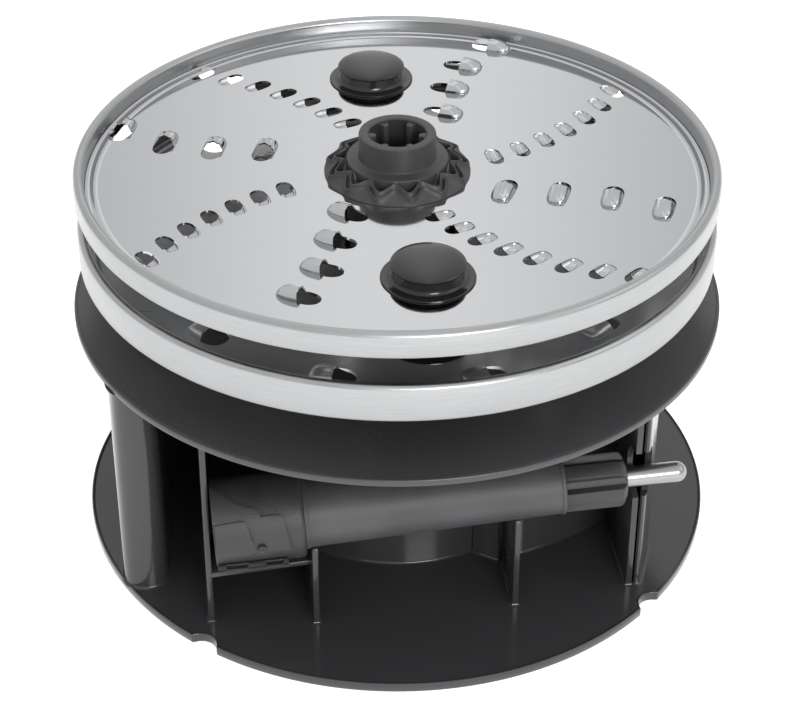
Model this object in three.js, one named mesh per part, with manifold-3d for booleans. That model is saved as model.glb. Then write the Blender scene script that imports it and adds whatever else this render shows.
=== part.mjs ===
// Disc-and-stem storage set of a food processor: a moulded case with two steel discs on top
// and the drive stem lying in its cradle. Millimetres, +Z up, the case opens towards -Y.
import * as THREE from 'three';
import { mergeVertices } from 'three/addons/utils/BufferGeometryUtils.js';
import Module from 'manifold-3d';

const wasm = await Module();
wasm.setup();

// ---- driving dimensions -------------------------------------------------------------------
const GAP = 0.3;                     // clearance between pieces that touch in the real object
const BASE = { radius: 93, thick: 2.4, bead: 0.5, notchAngles: [-132.3, -46.5] };
const PLATE = { radius: 92.8, bottom: 70.3, thick: 2.1 };
const WALL = 2;                      // moulded wall thickness
const FIN = 1.7;                     // thin upright fins
const SILO_RADIUS = 42.4;
const POST = { shoulderRadius: 14.3, collarRadius: 10.6, bore: 7.6, shoulderTop: 76.2, top: 84 };
const DISC_RADIUS = 90;
const RIM_WIDTH = 3;
const SHEET = 0.9;
const UPPER = { rimTop: 115.2, rimHeight: 7.5, recess: 5.3 };
const LOWER = { rimTop: 99.5, rimHeight: 10.9, recess: 8.7 };
const HUB = { collarRadius: 10.8, bore: 8, collarTop: 12, shoulderRadius: 14.3, shoulderTop: 4.5,
  crownRadius: 20, lobes: 13, crownPhase: -3, ribPhase: -7.4, skirtDepth: 13.4, socket: 11.2 };
const GRIP = { spread: 56.3, angle: 90.8, hole: 7.4, flange: 12.5, waist: 9.2, cap: 10, height: 5.6 };
const STEM = { y: -58.5, z: 38.8, tilt: 0.04, collarStart: -58.2, collarEnd: -33.4, collarRadius: 12.1,
  tubeEnd: 38.8, tubeBig: 9.6, tubeSmall: 8.1, headEnd: 56.4, headRadius: 7.7, pinRadius: 2.9, pinEnd: 73.8 };
const CASE_TOP = PLATE.bottom - GAP;
const CASE_FLOOR = BASE.thick + GAP;

// ---- materials ----------------------------------------------------------------------------
const look = (color, roughness, metalness) => () =>
  new THREE.MeshStandardMaterial({ color, roughness, metalness });
const casePlastic = look(0x2c2c2e, 0.25, 0);
const stemPlastic = look(0x3a3a3c, 0.6, 0);
const hubPlastic = look(0x38383a, 0.55, 0);
const gripPlastic = look(0x3b3b3d, 0.3, 0);
const steelSheet = look(0xc9cacc, 0.2, 1);
const steelRim = look(0xd6d7d8, 0.35, 1);
const steelPin = look(0xd0d0d0, 0.18, 1);

// ---- solid helpers ------------------------------------------------------------------------
const rad = (degrees) => (degrees * Math.PI) / 180;
const polar = (radius, degrees) => [radius * Math.cos(rad(degrees)), radius * Math.sin(rad(degrees))];

// Positions only, welded, without collapsed triangles and with every face pointing outward.
function weld(geometry) {
  const bare = new THREE.BufferGeometry();
  bare.setAttribute('position', geometry.getAttribute('position').clone());
  if (geometry.index) bare.setIndex(geometry.index.clone());
  const merged = mergeVertices(bare, 1e-4);
  const p = merged.getAttribute('position');
  const kept = [];
  let volume = 0;
  const [a, b, c] = [new THREE.Vector3(), new THREE.Vector3(), new THREE.Vector3()];
  for (let i = 0; i < merged.index.count; i += 3) {
    const [u, v, w] = [0, 1, 2].map((k) => merged.index.getX(i + k));
    if (u === v || v === w || u === w) continue;
    a.fromBufferAttribute(p, u); b.fromBufferAttribute(p, v); c.fromBufferAttribute(p, w);
    volume += a.dot(b.clone().cross(c));
    kept.push(u, v, w);
  }
  if (volume < 0) for (let i = 0; i < kept.length; i += 3) [kept[i], kept[i + 1]] = [kept[i + 1], kept[i]];
  merged.setIndex(kept);
  return merged;
}

const toSolid = (geometry) => {
  const g = weld(geometry);
  return new wasm.Manifold(new wasm.Mesh({ numProp: 3,
    vertProperties: new Float32Array(g.getAttribute('position').array),
    triVerts: new Uint32Array(g.index.array) }));
};

function fromSolid(solid) {
  const mesh = solid.getMesh();
  const g = new THREE.BufferGeometry();
  g.setAttribute('position', new THREE.BufferAttribute(mesh.vertProperties, 3));
  g.setIndex(new THREE.BufferAttribute(mesh.triVerts, 1));
  return g;
}

const cut = (body, ...tools) => fromSolid(tools.reduce((s, t) => s.subtract(toSolid(t)), toSolid(body)));
const join = (...bodies) => fromSolid(bodies.map(toSolid).reduce((s, t) => s.add(t)));
const common = (body, tool) => fromSolid(toSolid(body).intersect(toSolid(tool)));

function piece(name, geometry, material) {
  const clean = weld(geometry).toNonIndexed();
  clean.computeVertexNormals();
  const mesh = new THREE.Mesh(clean, material());
  mesh.name = name;
  return mesh;
}

// Ring or disc about Z from a closed [radius, height] outline.
const turned = (outline, segments = 72) =>
  new THREE.LatheGeometry([...outline, outline[0]].map(([r, z]) => new THREE.Vector2(r, z)), segments)
    .rotateX(Math.PI / 2);

const rod = (radius, z0, z1, segments = 32) =>
  new THREE.CylinderGeometry(radius, radius, z1 - z0, segments).rotateX(Math.PI / 2)
    .translate(0, 0, (z0 + z1) / 2);

const block = (x0, x1, y0, y1, z0, z1) =>
  new THREE.BoxGeometry(x1 - x0, y1 - y0, z1 - z0)
    .translate((x0 + x1) / 2, (y0 + y1) / 2, (z0 + z1) / 2);

// Upright prism over a plan outline of [x, y] points.
function prism(points, z0, z1, hole) {
  const shape = new THREE.Shape(points.map(([x, y]) => new THREE.Vector2(x, y)));
  if (hole) shape.holes.push(new THREE.Path(hole.map(([x, y]) => new THREE.Vector2(x, y))));
  return new THREE.ExtrudeGeometry(shape, { depth: z1 - z0, bevelEnabled: false }).translate(0, 0, z0);
}

// Side outline of [y, z] points made into a thin upright plate at x.
const uprightPlate = (points, x, thick) => prism(points, 0, thick)
  .applyMatrix4(new THREE.Matrix4().set(0, 0, 1, x, 1, 0, 0, 0, 0, 1, 0, 0, 0, 0, 0, 1));

// Plan outline of a wall of even thickness that follows a line of points.
function ribbon(points, thick) {
  const side = (sign) => points.map(([x, y], i) => {
    const [px, py] = points[Math.max(i - 1, 0)];
    const [nx, ny] = points[Math.min(i + 1, points.length - 1)];
    const length = Math.hypot(nx - px, ny - py);
    return [x - (sign * thick * (ny - py)) / (2 * length), y + (sign * thick * (nx - px)) / (2 * length)];
  });
  return [...side(1), ...side(-1).reverse()];
}

// Points along an arc; degrees may run either way.
const arc = (cx, cy, radius, from, to, steps) => Array.from({ length: steps + 1 }, (_, i) => {
  const [x, y] = polar(radius, from + ((to - from) * i) / steps);
  return [cx + x, cy + y];
});

// Closed body from rings of one point count, stacked upward; each ring is a list of [x, y, z].
function stacked(rings) {
  const count = rings[0].length;
  const vertices = rings.flat(2);
  const faces = [];
  for (let k = 0; k + 1 < rings.length; k += 1) {
    for (let i = 0; i < count; i += 1) {
      const [a, b] = [k * count + i, k * count + ((i + 1) % count)];
      faces.push(a, b, b + count, a, b + count, a + count);
    }
  }
  for (const [ring, flip] of [[0, true], [rings.length - 1, false]]) {
    const centre = vertices.length / 3;
    const middle = [0, 1, 2].map((k) => rings[ring].reduce((s, p) => s + p[k], 0) / count);
    vertices.push(...middle);
    for (let i = 0; i < count; i += 1) {
      const [a, b] = [ring * count + i, ring * count + ((i + 1) % count)];
      faces.push(...(flip ? [centre, b, a] : [centre, a, b]));
    }
  }
  const g = new THREE.BufferGeometry();
  g.setAttribute('position', new THREE.Float32BufferAttribute(vertices, 3));
  g.setIndex(faces);
  return g;
}

// ---- case ---------------------------------------------------------------------------------
function basePlate() {
  const { radius: r, thick: t, bead } = BASE;
  const body = turned([[0, 0], [r - 0.6, 0], [r, 0.6], [r, t + bead], [r - 0.9, t + bead], [r - 1.4, t],
    [0, t]], 72);
  const notches = BASE.notchAngles.map((angle) =>
    rod(4.6, -1, 5, 16).translate(...polar(r + 1.8, angle), 0));
  return cut(body, ...notches);
}

function topPlate() {
  const { radius: r, bottom, thick } = PLATE;
  const top = bottom + thick;
  return turned([[0, bottom], [r - 0.8, bottom], [r, bottom + 0.7], [r, top - 0.6], [r - 1, top],
    [r - 2.4, top], [60, top - 0.8], [0, top - 0.8]], 72);
}

// Stepped spigot under the discs: it fits the socket in the lower disc's hub.
function discPost() {
  const { shoulderRadius: s, collarRadius: c, bore, shoulderTop, top } = POST;
  const foot = PLATE.bottom + PLATE.thick - 0.8 + GAP;
  return turned([[bore, foot], [s, foot], [s, shoulderTop], [c, shoulderTop], [c, top - 0.8], [c - 0.8, top],
    [bore, top]], 32);
}

// Hollow column with a rounded nose at each end, along the left rim.
function leftWall() {
  const nose = [[-84.2, 34.5], [-84.2, -34.5], [-83.2, -37.6], [-81.2, -40.6], [-78.6, -42.6], [-76.2, -42.7],
    [-74.2, -41], [-71.4, -32], [-69.6, -18], [-69, 0]];
  const mirrored = nose.slice(2, -1).map(([x, y]) => [x, -y]).reverse();
  const outer = [...nose, ...mirrored];
  const inner = outer.map(([x, y]) => [-77.8 + (x + 77.8) * 0.76, y * 0.955]);
  return prism(outer, CASE_FLOOR, CASE_TOP, inner);
}

// Wall that starts at the last fin's front edge, slants outward and runs back.
function rightWall() {
  const line = [[61.6, -58.5], [67.2, -46.2], [68, -43], [68, 40]];
  const pinRoom = block(58, 66, -62, -54.2, 33.8, 50.2);
  return cut(prism(ribbon(line, WALL - 0.2), CASE_FLOOR, CASE_TOP), pinRoom);
}

// Bowed wall that closes the back, between the ends of the left and right walls.
function rearWall() {
  return prism(ribbon(arc(-2.7, 4.4, 82, 28.1, 149.6, 24), WALL), CASE_FLOOR, CASE_TOP);
}

const centralSilo = () => turned([[SILO_RADIUS - WALL, CASE_FLOOR], [SILO_RADIUS, CASE_FLOOR],
  [SILO_RADIUS, CASE_TOP], [SILO_RADIUS - WALL, CASE_TOP]], 56);

// Short slanted web from the silo to the back of the third fin.
function siloWeb() {
  const line = [[18.3, -39.3], [23.9, -43.3]];
  return prism(ribbon(line, FIN), CASE_FLOOR, CASE_TOP);
}

// Gently bowed wall behind the stem's head, from the third fin to the right wall.
function frontWall() {
  const line = arc(3.8, 49.1, 94.2, -73, -50.2, 10);
  return prism(ribbon(line, FIN), CASE_FLOOR, CASE_TOP);
}

const stemHeightAt = (x) => STEM.z + STEM.tilt * x;

// Fin whose top is a saddle for the stem: low front lip, round seat, higher back.
function saddleFin(x, front, back, lip, seatRadius) {
  const centre = stemHeightAt(x + FIN / 2);
  const seat = [];
  for (let a = 200; a <= 340; a += 14) {
    const [dy, dz] = polar(seatRadius, a);
    if (STEM.y + dy > front && centre + dz < centre - 1) seat.push([STEM.y + dy, centre + dz]);
  }
  const rear = seat[seat.length - 1];
  const outline = [[front, CASE_FLOOR], [back, CASE_FLOOR], [back, centre + 4], [rear[0] + 1.5, centre + 4],
    [rear[0] + 1.2, centre + 1], ...seat.reverse(), [front + 0.6, lip], [front, lip - 0.8]];
  return uprightPlate(outline, x, FIN);
}

const fullFin = (x, front, back) => block(x, x + FIN, front, back, CASE_FLOOR, CASE_TOP);

// Last fin: open-fronted notch that the steel pin passes through.
function notchedFin(x, front, back) {
  const notch = [[front - 1, 34.6], [front + 1.5, 34.6], [front + 6, 36.4], [front + 8.4, 39.4],
    [front + 8.8, 42.4], [front + 7.8, 46], [front + 5, 48.6], [front + 1, 49.4], [front - 1, 49.4]];
  return cut(fullFin(x, front, back), uprightPlate(notch, x - 1, FIN + 2));
}

// Ledge under the stem's collar, rising slightly to the right like the collar itself.
function shelf() {
  const [x0, x1] = [-59, -31.9];
  const outline = [[x0, 18.9], [x1, 20.8], [x1, 22.4], [x0, 20.5]];
  return prism(outline, 0, 17).rotateX(Math.PI / 2).translate(0, -44, 0);
}

function caseGroup() {
  const g = new THREE.Group();
  g.name = 'case';
  g.add(
    piece('base_plate', basePlate(), casePlastic),
    piece('top_plate', topPlate(), casePlastic),
    piece('disc_post', discPost(), casePlastic),
    piece('left_wall', leftWall(), casePlastic),
    piece('right_wall', rightWall(), casePlastic),
    piece('front_wall', frontWall(), casePlastic),
    piece('rear_wall', rearWall(), casePlastic),
    piece('central_silo', centralSilo(), casePlastic),
    piece('silo_web', siloWeb(), casePlastic),
    piece('stem_shelf', shelf(), casePlastic),
    piece('fin_1', fullFin(-60.8, -60.5, -38), casePlastic),
    piece('fin_2', saddleFin(-31.6, -64.8, -30.5, 29.4, 10), casePlastic),
    piece('fin_3', saddleFin(24.9, -64.2, -44.2, 33, 9), casePlastic),
    piece('fin_4', notchedFin(58.7, -59.7, -36), casePlastic),
  );
  return g;
}

// ---- stem (built along Z, then laid along X) ------------------------------------------------
const laid = (geometry) => geometry.rotateY(Math.PI / 2);

// Plain bore for most of its depth and a six-sided drive seat at its end.
function stemCollar() {
  const { collarStart: a, collarEnd: b, collarRadius: r } = STEM;
  const body = turned([[0, a], [r - 0.5, a], [r, a + 0.5], [r, b - 1.4], [r - 1.4, b], [0, b]], 36);
  return laid(cut(body, rod(9.4, a - 1, a + 14, 24), rod(6, a - 1, a + 21, 6)));
}

// Bayonet sleeve: half shell round the collar whose edge steps down towards the tube.
function lockSleeve() {
  const { collarStart: a, collarRadius: r } = STEM;
  const shell = turned([[r + 0.1, a], [r + 1, a], [r + 1, a + 19.6], [r + 0.1, a + 19.6]], 36);
  const edge = [[a - 1, 9.6], [a + 1, 9.2], [a + 5, 5.6], [a + 9, 3.6], [a + 12.4, 2.6], [a + 13.6, 0.4],
    [a + 18.2, 0.4], [a + 19, -0.8], [a + 20.6, -9], [a - 1, -9]];
  const window = prism(edge, 0, 20).rotateX(Math.PI / 2);
  return common(laid(shell), window);
}

// Raised pad on the left part of the sleeve.
function lockPad() {
  const { collarStart: a, collarRadius: r } = STEM;
  const shell = turned([[r + 1.3, a + 0.4], [r + 1.9, a + 0.4], [r + 1.9, a + 11], [r + 1.3, a + 11]], 36);
  const outline = [[a, -0.6], [a + 8.6, -0.2], [a + 10.4, -5.4], [a + 10.4, -8], [a, -8]];
  return common(laid(shell), prism(outline, 0, 20).rotateX(Math.PI / 2));
}

// Rail with two windows along the lower front of the collar.
function lockRail() {
  const { collarStart: a, collarRadius: r } = STEM;
  const [top, bottom] = [-r - GAP, -r - 2.5];
  const window = (x0, x1) => block(x0, x1, -2, 2, bottom + 0.8, top - 0.5);
  const rail = block(a + 0.3, a + 19.5, -0.8, 0.8, bottom, top);
  return cut(rail, window(a + 2.6, a + 8.4), window(a + 13.4, a + 18)).rotateX(rad(-34));
}

const detentBoss = () => rod(1.3, STEM.collarRadius + 1.35, STEM.collarRadius + 2.1, 16)
  .rotateX(Math.PI / 2 + rad(38)).translate(STEM.collarStart + 12.6, 0, 0);

function stemTube() {
  const { collarEnd: a, tubeEnd: b, tubeBig, tubeSmall } = STEM;
  return laid(turned([[0, a + GAP], [tubeBig + 0.5, a + GAP], [tubeBig, a + 1.4], [tubeSmall, b - 1.4],
    [tubeSmall + 0.3, b - 0.9], [tubeSmall - 0.1, b], [0, b]], 32));
}

// Six-lobed drive head that fits between the ribs of a hub.
function splineHead() {
  const { tubeEnd: a, headEnd: b, headRadius: r, pinRadius } = STEM;
  const section = [];
  for (let i = 0; i < 6; i += 1) {
    for (const [radius, offset] of [[r - 1.7, -23], [r, -19], [r, -6], [r, 6], [r, 19], [r - 1.7, 23]]) {
      section.push(polar(radius, 60 * i + 30 + offset));
    }
  }
  const small = section.map(([x, y]) => [x * 0.9, y * 0.9]);
  const ring = (points, z) => points.map(([x, y]) => [x, y, z]);
  const body = stacked([ring(section, a + GAP), ring(section, b - 1.2), ring(small, b)]);
  return laid(cut(body, rod(pinRadius + 0.2, b - 12, b + 1, 24)));
}

function steelPinRod() {
  const { headEnd: b, pinRadius: r, pinEnd } = STEM;
  return laid(turned([[0, b - 11.7], [r, b - 11.7], [r, pinEnd - r], [r * 0.87, pinEnd - r * 0.5],
    [r * 0.5, pinEnd - r * 0.13], [0, pinEnd]], 24));
}

function stemGroup() {
  const g = new THREE.Group();
  g.name = 'stem';
  g.position.set(0, STEM.y, STEM.z);
  g.rotation.y = -STEM.tilt;
  g.add(
    piece('stem_collar', stemCollar(), stemPlastic),
    piece('lock_sleeve', lockSleeve(), stemPlastic),
    piece('lock_pad', lockPad(), stemPlastic),
    piece('lock_rail', lockRail(), stemPlastic),
    piece('detent_boss', detentBoss(), stemPlastic),
    piece('stem_tube', stemTube(), stemPlastic),
    piece('spline_head', splineHead(), stemPlastic),
    piece('steel_pin', steelPinRod(), steelPin),
  );
  return g;
}

// ---- discs ----------------------------------------------------------------------------------
// Each tooth is a scoop pressed out of the sheet plus the slot in front of its cutting lip.
// It is described with the lip on the local Y axis and the mouth facing local -X.
const COARSE = { width: 6.6, run: 6.6, slot: 4.6, rise: 2.6 };
const FINE = { width: 4, run: 4.4, slot: 3, rise: 1.7 };
const SHRED = { width: 8, run: 7, slot: 5, rise: 2.6 };

// Corner points of the arch across a scoop, at distance x behind the lip.
const archAt = (x, half, top, foot) =>
  [[x, -half, foot], [x, -half * 0.55, top], [x, half * 0.55, top], [x, half, foot]];

// Arched strip of sheet standing over its opening: high at the lip, down in the sheet at the rear.
function hood({ width, run, rise }) {
  const [half, t, foot] = [width / 2, 0.7, -SHEET * 0.5];
  const corners = [archAt(0, half + t, rise, foot), archAt(0, half, rise - t, foot),
    archAt(run, half * 0.85 + t, 0.06, foot), archAt(run, half * 0.85, 0.06 - t, foot - 0.1)];
  const faces = [];
  const quad = (a, b, c, d) => faces.push(a, b, c, a, c, d);
  for (let i = 0; i < 3; i += 1) {
    quad(i, i + 1, i + 9, i + 8);                 // outer skin
    quad(i + 4, i + 12, i + 13, i + 5);           // inner skin
    quad(i, i + 4, i + 5, i + 1);                 // lip
    quad(i + 8, i + 9, i + 13, i + 12);           // rear edge
  }
  quad(0, 8, 12, 4);
  quad(3, 7, 15, 11);
  const g = new THREE.BufferGeometry();
  g.setAttribute('position', new THREE.Float32BufferAttribute(corners.flat(2), 3));
  g.setIndex(faces);
  return g;
}

function mouth({ width, run, slot }) {
  const half = width / 2;
  return prism([[-slot, -half * 0.8], [0, -half], [run * 0.74, -half * 0.85], [run * 0.74, half * 0.85],
    [0, half], [-slot, half * 0.8]], -2, 2);
}

// Place a tooth at a polar position; side -1 presses it through the underside and turns it round.
function placeTooth(geometry, radius, angle, surface, side) {
  const g = geometry.clone();
  const flip = new THREE.Matrix4().makeRotationX(side > 0 ? 0 : Math.PI);
  const level = side > 0 ? surface : surface - SHEET;
  g.applyMatrix4(flip);
  // Mouth of an upper tooth faces counter-clockwise seen from above, of a lower one clockwise.
  g.applyMatrix4(new THREE.Matrix4().makeRotationZ(rad(side > 0 ? angle - 90 : angle + 90)));
  const [x, y] = polar(radius, angle);
  return g.translate(x, y, level);
}

function upperTeeth() {
  const teeth = [];
  const coarseRows = [[161.1, 39.2, 14.4], [66.3, 36.5, 15.3], [-20.7, 31.6, 14.6], [-117.1, 27.4, 14.1]];
  for (const [angle, start, pitch] of coarseRows) {
    for (let i = 0; i < 4; i += 1) {
      const r = start + pitch * i;
      teeth.push({ size: COARSE, r, angle: angle - 5.5 * ((r - 60) / 27) ** 2, side: 1 });
    }
  }
  const fineRows = [[109.6, 30.8, 8.7, 3.05, 7], [191.7, 32.7, 8, 2.75, 7], [7.4, 28.5, 8.6, 3.6, 7],
    [-73.6, 27.5, 7.9, 3.5, 8]];
  for (const [angle, start, pitch, turn, count] of fineRows) {
    for (let i = 0; i < count; i += 1) {
      teeth.push({ size: FINE, r: start + pitch * i, angle: angle + turn * i, side: -1 });
    }
  }
  return teeth;
}

const clearOfGrips = ({ r, angle }) => [0, 180].every((side) => {
  const [tx, ty] = polar(r, angle);
  const [gx, gy] = polar(GRIP.spread, GRIP.angle + side);
  return Math.hypot(tx - gx, ty - gy) > GRIP.flange + 7;
});

// Second disc: twelve rows of one wider tooth, staggered so that the cuts overlap.
function lowerTeeth() {
  const teeth = [];
  for (let row = 0; row < 12; row += 1) {
    for (let i = 0; i < 3; i += 1) {
      teeth.push({ size: SHRED, r: 36 + 18.6 * i + 1.6 * (row % 3), angle: -49.4 + 30 * row, side: 1 });
    }
  }
  return teeth.filter(clearOfGrips);
}

function discSheet(surface, teeth) {
  const outer = DISC_RADIUS - RIM_WIDTH - GAP;
  let body = toSolid(turned([[16.3, surface - SHEET], [outer, surface - SHEET], [outer, surface],
    [16.3, surface]], 64));
  for (const side of [0, 180]) {
    const hole = rod(GRIP.hole, surface - 4, surface + 4, 24);
    body = body.subtract(toSolid(hole.translate(...polar(GRIP.spread, GRIP.angle + side), 0)));
  }
  const put = (g, tooth) => toSolid(placeTooth(g, tooth.r, tooth.angle, surface, tooth.side));
  for (const tooth of teeth) body = body.subtract(put(mouth(tooth.size), tooth));
  for (const tooth of teeth) body = body.add(put(hood(tooth.size), tooth));
  return fromSolid(body);
}

function discRim({ rimTop: top, rimHeight }) {
  const [r, w] = [DISC_RADIUS, RIM_WIDTH];
  const foot = top - rimHeight;
  return turned([[r - w, foot], [r - 1, foot], [r, foot + 0.9], [r, top - 1.4], [r - 1, top - 0.1],
    [r - 2, top - 0.1], [r - w, top - 1.4]], 60);
}

const lobed = (mean, swing, z, count = HUB.lobes * 2) => Array.from({ length: count }, (_, i) => {
  const degrees = (360 * i) / count;
  const [x, y] = polar(mean + swing * Math.cos(rad(HUB.lobes * degrees)), degrees + HUB.crownPhase);
  return [x, y, z];
});

// One moulding through the disc: ribbed collar and lobed crown above, socketed skirt below.
function hub(surface) {
  const h = HUB;
  const under = surface - SHEET;
  const steps = [[h.crownRadius, 0.5, GAP], [h.crownRadius - 0.3, 0.7, 1.4], [16.4, 0.5, 3.6],
    [h.shoulderRadius, 0, h.shoulderTop]];
  const crown = stacked(steps.map(([r, swing, z]) => lobed(r, swing, surface + z)));
  const lowerCrown = stacked([...steps].reverse().map(([r, swing, z]) => lobed(r, swing, under - z)));
  const inner = h.shoulderRadius - 0.1;
  const waist = 15.9;
  const core = turned([[0, under - h.skirtDepth], [inner, under - h.skirtDepth],
    [inner, under - 3.9], [waist, under - 3.2], [waist, surface + 3.2], [inner, surface + 3.9],
    [inner, surface + h.shoulderTop - 0.1], [h.collarRadius, surface + h.shoulderTop - 0.1],
    [h.collarRadius, surface + h.collarTop - 0.6], [h.collarRadius - 0.6, surface + h.collarTop],
    [0, surface + h.collarTop]], 26);
  const bore = rod(h.bore, under - h.skirtDepth - 1, surface + h.collarTop + 1, 24);
  const socket = rod(h.socket, under - h.skirtDepth - 1, under - h.skirtDepth + 7.9, 26);
  let body = join(crown, lowerCrown, core);
  body = cut(body, bore, socket);
  const ribs = Array.from({ length: 6 }, (_, i) =>
    block(h.bore - 1.7, h.bore + 0.6, -0.75, 0.75, under - h.skirtDepth + 9, surface + h.collarTop - 1)
      .rotateZ(rad(60 * i + HUB.ribPhase)));
  return join(body, ...ribs);
}

// Two-sided finger grip: the same flange, waist and domed cap on both faces of the disc.
function grip(surface, turn) {
  const { flange, waist, cap, height, spread, angle } = GRIP;
  const half = [[7.1, GAP], [flange, GAP], [flange, 0.9], [waist, 1.5], [waist, 3.5], [cap, 3.9], [cap, 4.7],
    [cap - 3, height], [0, height + 0.1]];
  const side = half.slice(0, -1);
  const outline = [[0, surface + height + 0.1], ...[...side].reverse().map(([r, z]) => [r, surface + z]),
    ...side.map(([r, z]) => [r, surface - SHEET - z]), [0, surface - SHEET - height - 0.1]];
  return turned(outline, 22).translate(...polar(spread, angle + turn), 0);
}

function discGroup(name, size, teeth) {
  const g = new THREE.Group();
  g.name = name;
  const surface = size.rimTop - size.recess;
  g.add(
    piece(`${name}_sheet`, discSheet(surface, teeth), steelSheet),
    piece(`${name}_rim`, discRim(size), steelRim),
    piece(`${name}_hub`, hub(surface), hubPlastic),
    piece(`${name}_grip_back`, grip(surface, 0), gripPlastic),
    piece(`${name}_grip_front`, grip(surface, 180), gripPlastic),
  );
  return g;
}

const root = new THREE.Group();
root.name = 'food_processor_disc_set';
root.add(caseGroup(), stemGroup(), discGroup('lower_disc', LOWER, lowerTeeth()),
  discGroup('upper_disc', UPPER, upperTeeth()));

export default root;
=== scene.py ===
"""Looks of a food processor's disc and stem storage set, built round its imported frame.

Sizes are in millimetres until a mesh is made, and the object stands on z = 0 with its open front at -Y.
"""

import logging
import math
from dataclasses import dataclass, field
from enum import Enum
from typing import Callable, Optional, Sequence

import bmesh
import bpy
from mathutils import Matrix, Vector


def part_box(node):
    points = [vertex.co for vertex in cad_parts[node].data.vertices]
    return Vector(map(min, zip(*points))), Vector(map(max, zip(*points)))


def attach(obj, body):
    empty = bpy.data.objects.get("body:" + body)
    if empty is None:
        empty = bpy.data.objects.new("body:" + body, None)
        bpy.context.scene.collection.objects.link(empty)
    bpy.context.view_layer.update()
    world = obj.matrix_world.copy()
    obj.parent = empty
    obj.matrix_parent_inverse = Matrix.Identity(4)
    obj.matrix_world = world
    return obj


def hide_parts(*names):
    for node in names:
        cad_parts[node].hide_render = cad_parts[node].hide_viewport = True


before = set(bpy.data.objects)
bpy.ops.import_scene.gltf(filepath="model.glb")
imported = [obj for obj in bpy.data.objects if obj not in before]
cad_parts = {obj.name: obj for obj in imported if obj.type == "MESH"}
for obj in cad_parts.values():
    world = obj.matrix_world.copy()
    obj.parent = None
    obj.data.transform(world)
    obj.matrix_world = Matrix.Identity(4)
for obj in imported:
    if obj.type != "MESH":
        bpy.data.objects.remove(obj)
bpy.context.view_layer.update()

log = logging.getLogger("disc_set")
MM = 0.001
LEVEL = 0.99995  # faces whose normal is this upright are shaded flat, so that wide faces stay even
RIM_METRES = 0.09  # metres along the rim for each radian round the Z axis
CORNER_CUTS = (0.25, 0.75)  # shares of an edge at which its corners are cut
LONGEST_CORNER = 1.6  # a sharp corner moves this many times as far as its edges at most
Point = tuple[float, float]
Outline = list[Point]
Space = tuple[float, float, float]


# ---- plane geometry -------------------------------------------------------------------------
def polar(radius: float, degrees: float) -> Point:
    """Plan point at a radius and an angle in degrees."""
    return radius * math.cos(math.radians(degrees)), radius * math.sin(math.radians(degrees))


def arc(centre: Point, radius: float, start: float, end: float, steps: int) -> Outline:
    """Points along an arc.

    Args:
        centre: The arc's centre.
        radius: Its radius.
        start: First angle in degrees.
        end: Last angle in degrees.
        steps: Number of chords.

    Returns:
        steps + 1 points from start to end.
    """
    turns = (start + (end - start) * i / steps for i in range(steps + 1))
    return [(centre[0] + x, centre[1] + y) for x, y in (polar(radius, a) for a in turns)]


def soften(points: Outline, rounds: int = 3, closed: bool = True) -> Outline:
    """Cuts the corners of an outline again and again until it looks smooth.

    Args:
        points: The outline.
        rounds: How many times each corner is cut.
        closed: Whether the last point joins the first.

    Returns:
        The smooth outline, which stays inside the old one.
    """
    for _ in range(rounds):
        pairs = list(zip(points, points[1:] + points[:1] if closed else points[1:]))
        cut = [(a[0] + (b[0] - a[0]) * t, a[1] + (b[1] - a[1]) * t) for a, b in pairs for t in CORNER_CUTS]
        points = cut if closed else [points[0], *cut, points[-1]]
    return points


def inset(outline: Outline, distance: float) -> Outline:
    """Moves every point of a counter-clockwise outline inwards along its normal.

    Args:
        outline: The closed outline.
        distance: How far inwards; a negative distance moves outwards.

    Returns:
        The moved outline.
    """
    moved = []
    count = len(outline)
    for i, (x, y) in enumerate(outline):
        before, after = outline[i - 1], outline[(i + 1) % count]
        first = Vector((x - before[0], y - before[1])).normalized()
        second = Vector((after[0] - x, after[1] - y)).normalized()
        along = (first + second).normalized()
        stretch = min(LONGEST_CORNER, 1 / max(0.3, along.dot(first)))
        moved.append((x - along.y * distance * stretch, y + along.x * distance * stretch))
    return moved


def ribbon(line: Outline, thick: float, end_steps: int = 4) -> Outline:
    """Counter-clockwise outline of a wall of even thickness with round ends.

    Args:
        line: The wall's middle line.
        thick: Its thickness.
        end_steps: Chords in each round end.

    Returns:
        The closed outline.
    """
    half = thick / 2

    def heading(i: int) -> float:
        """Direction of the line at one of its points, in degrees."""
        a, b = line[max(i - 1, 0)], line[min(i + 1, len(line) - 1)]
        return math.degrees(math.atan2(b[1] - a[1], b[0] - a[0]))

    def beside(turn: float) -> Outline:
        """The line moved by half the thickness, at an angle to it in degrees."""
        steps = [polar(half, heading(i) + turn) for i in range(len(line))]
        return [(p[0] + step[0], p[1] + step[1]) for p, step in zip(line, steps)]

    last, first = heading(len(line) - 1), heading(0)
    far = arc(line[-1], half, last - 90, last + 90, end_steps)[1:-1]
    near = arc(line[0], half, first + 90, first + 270, end_steps)[1:-1]
    return [*beside(-90), *far, *reversed(beside(90)), *near]


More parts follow.
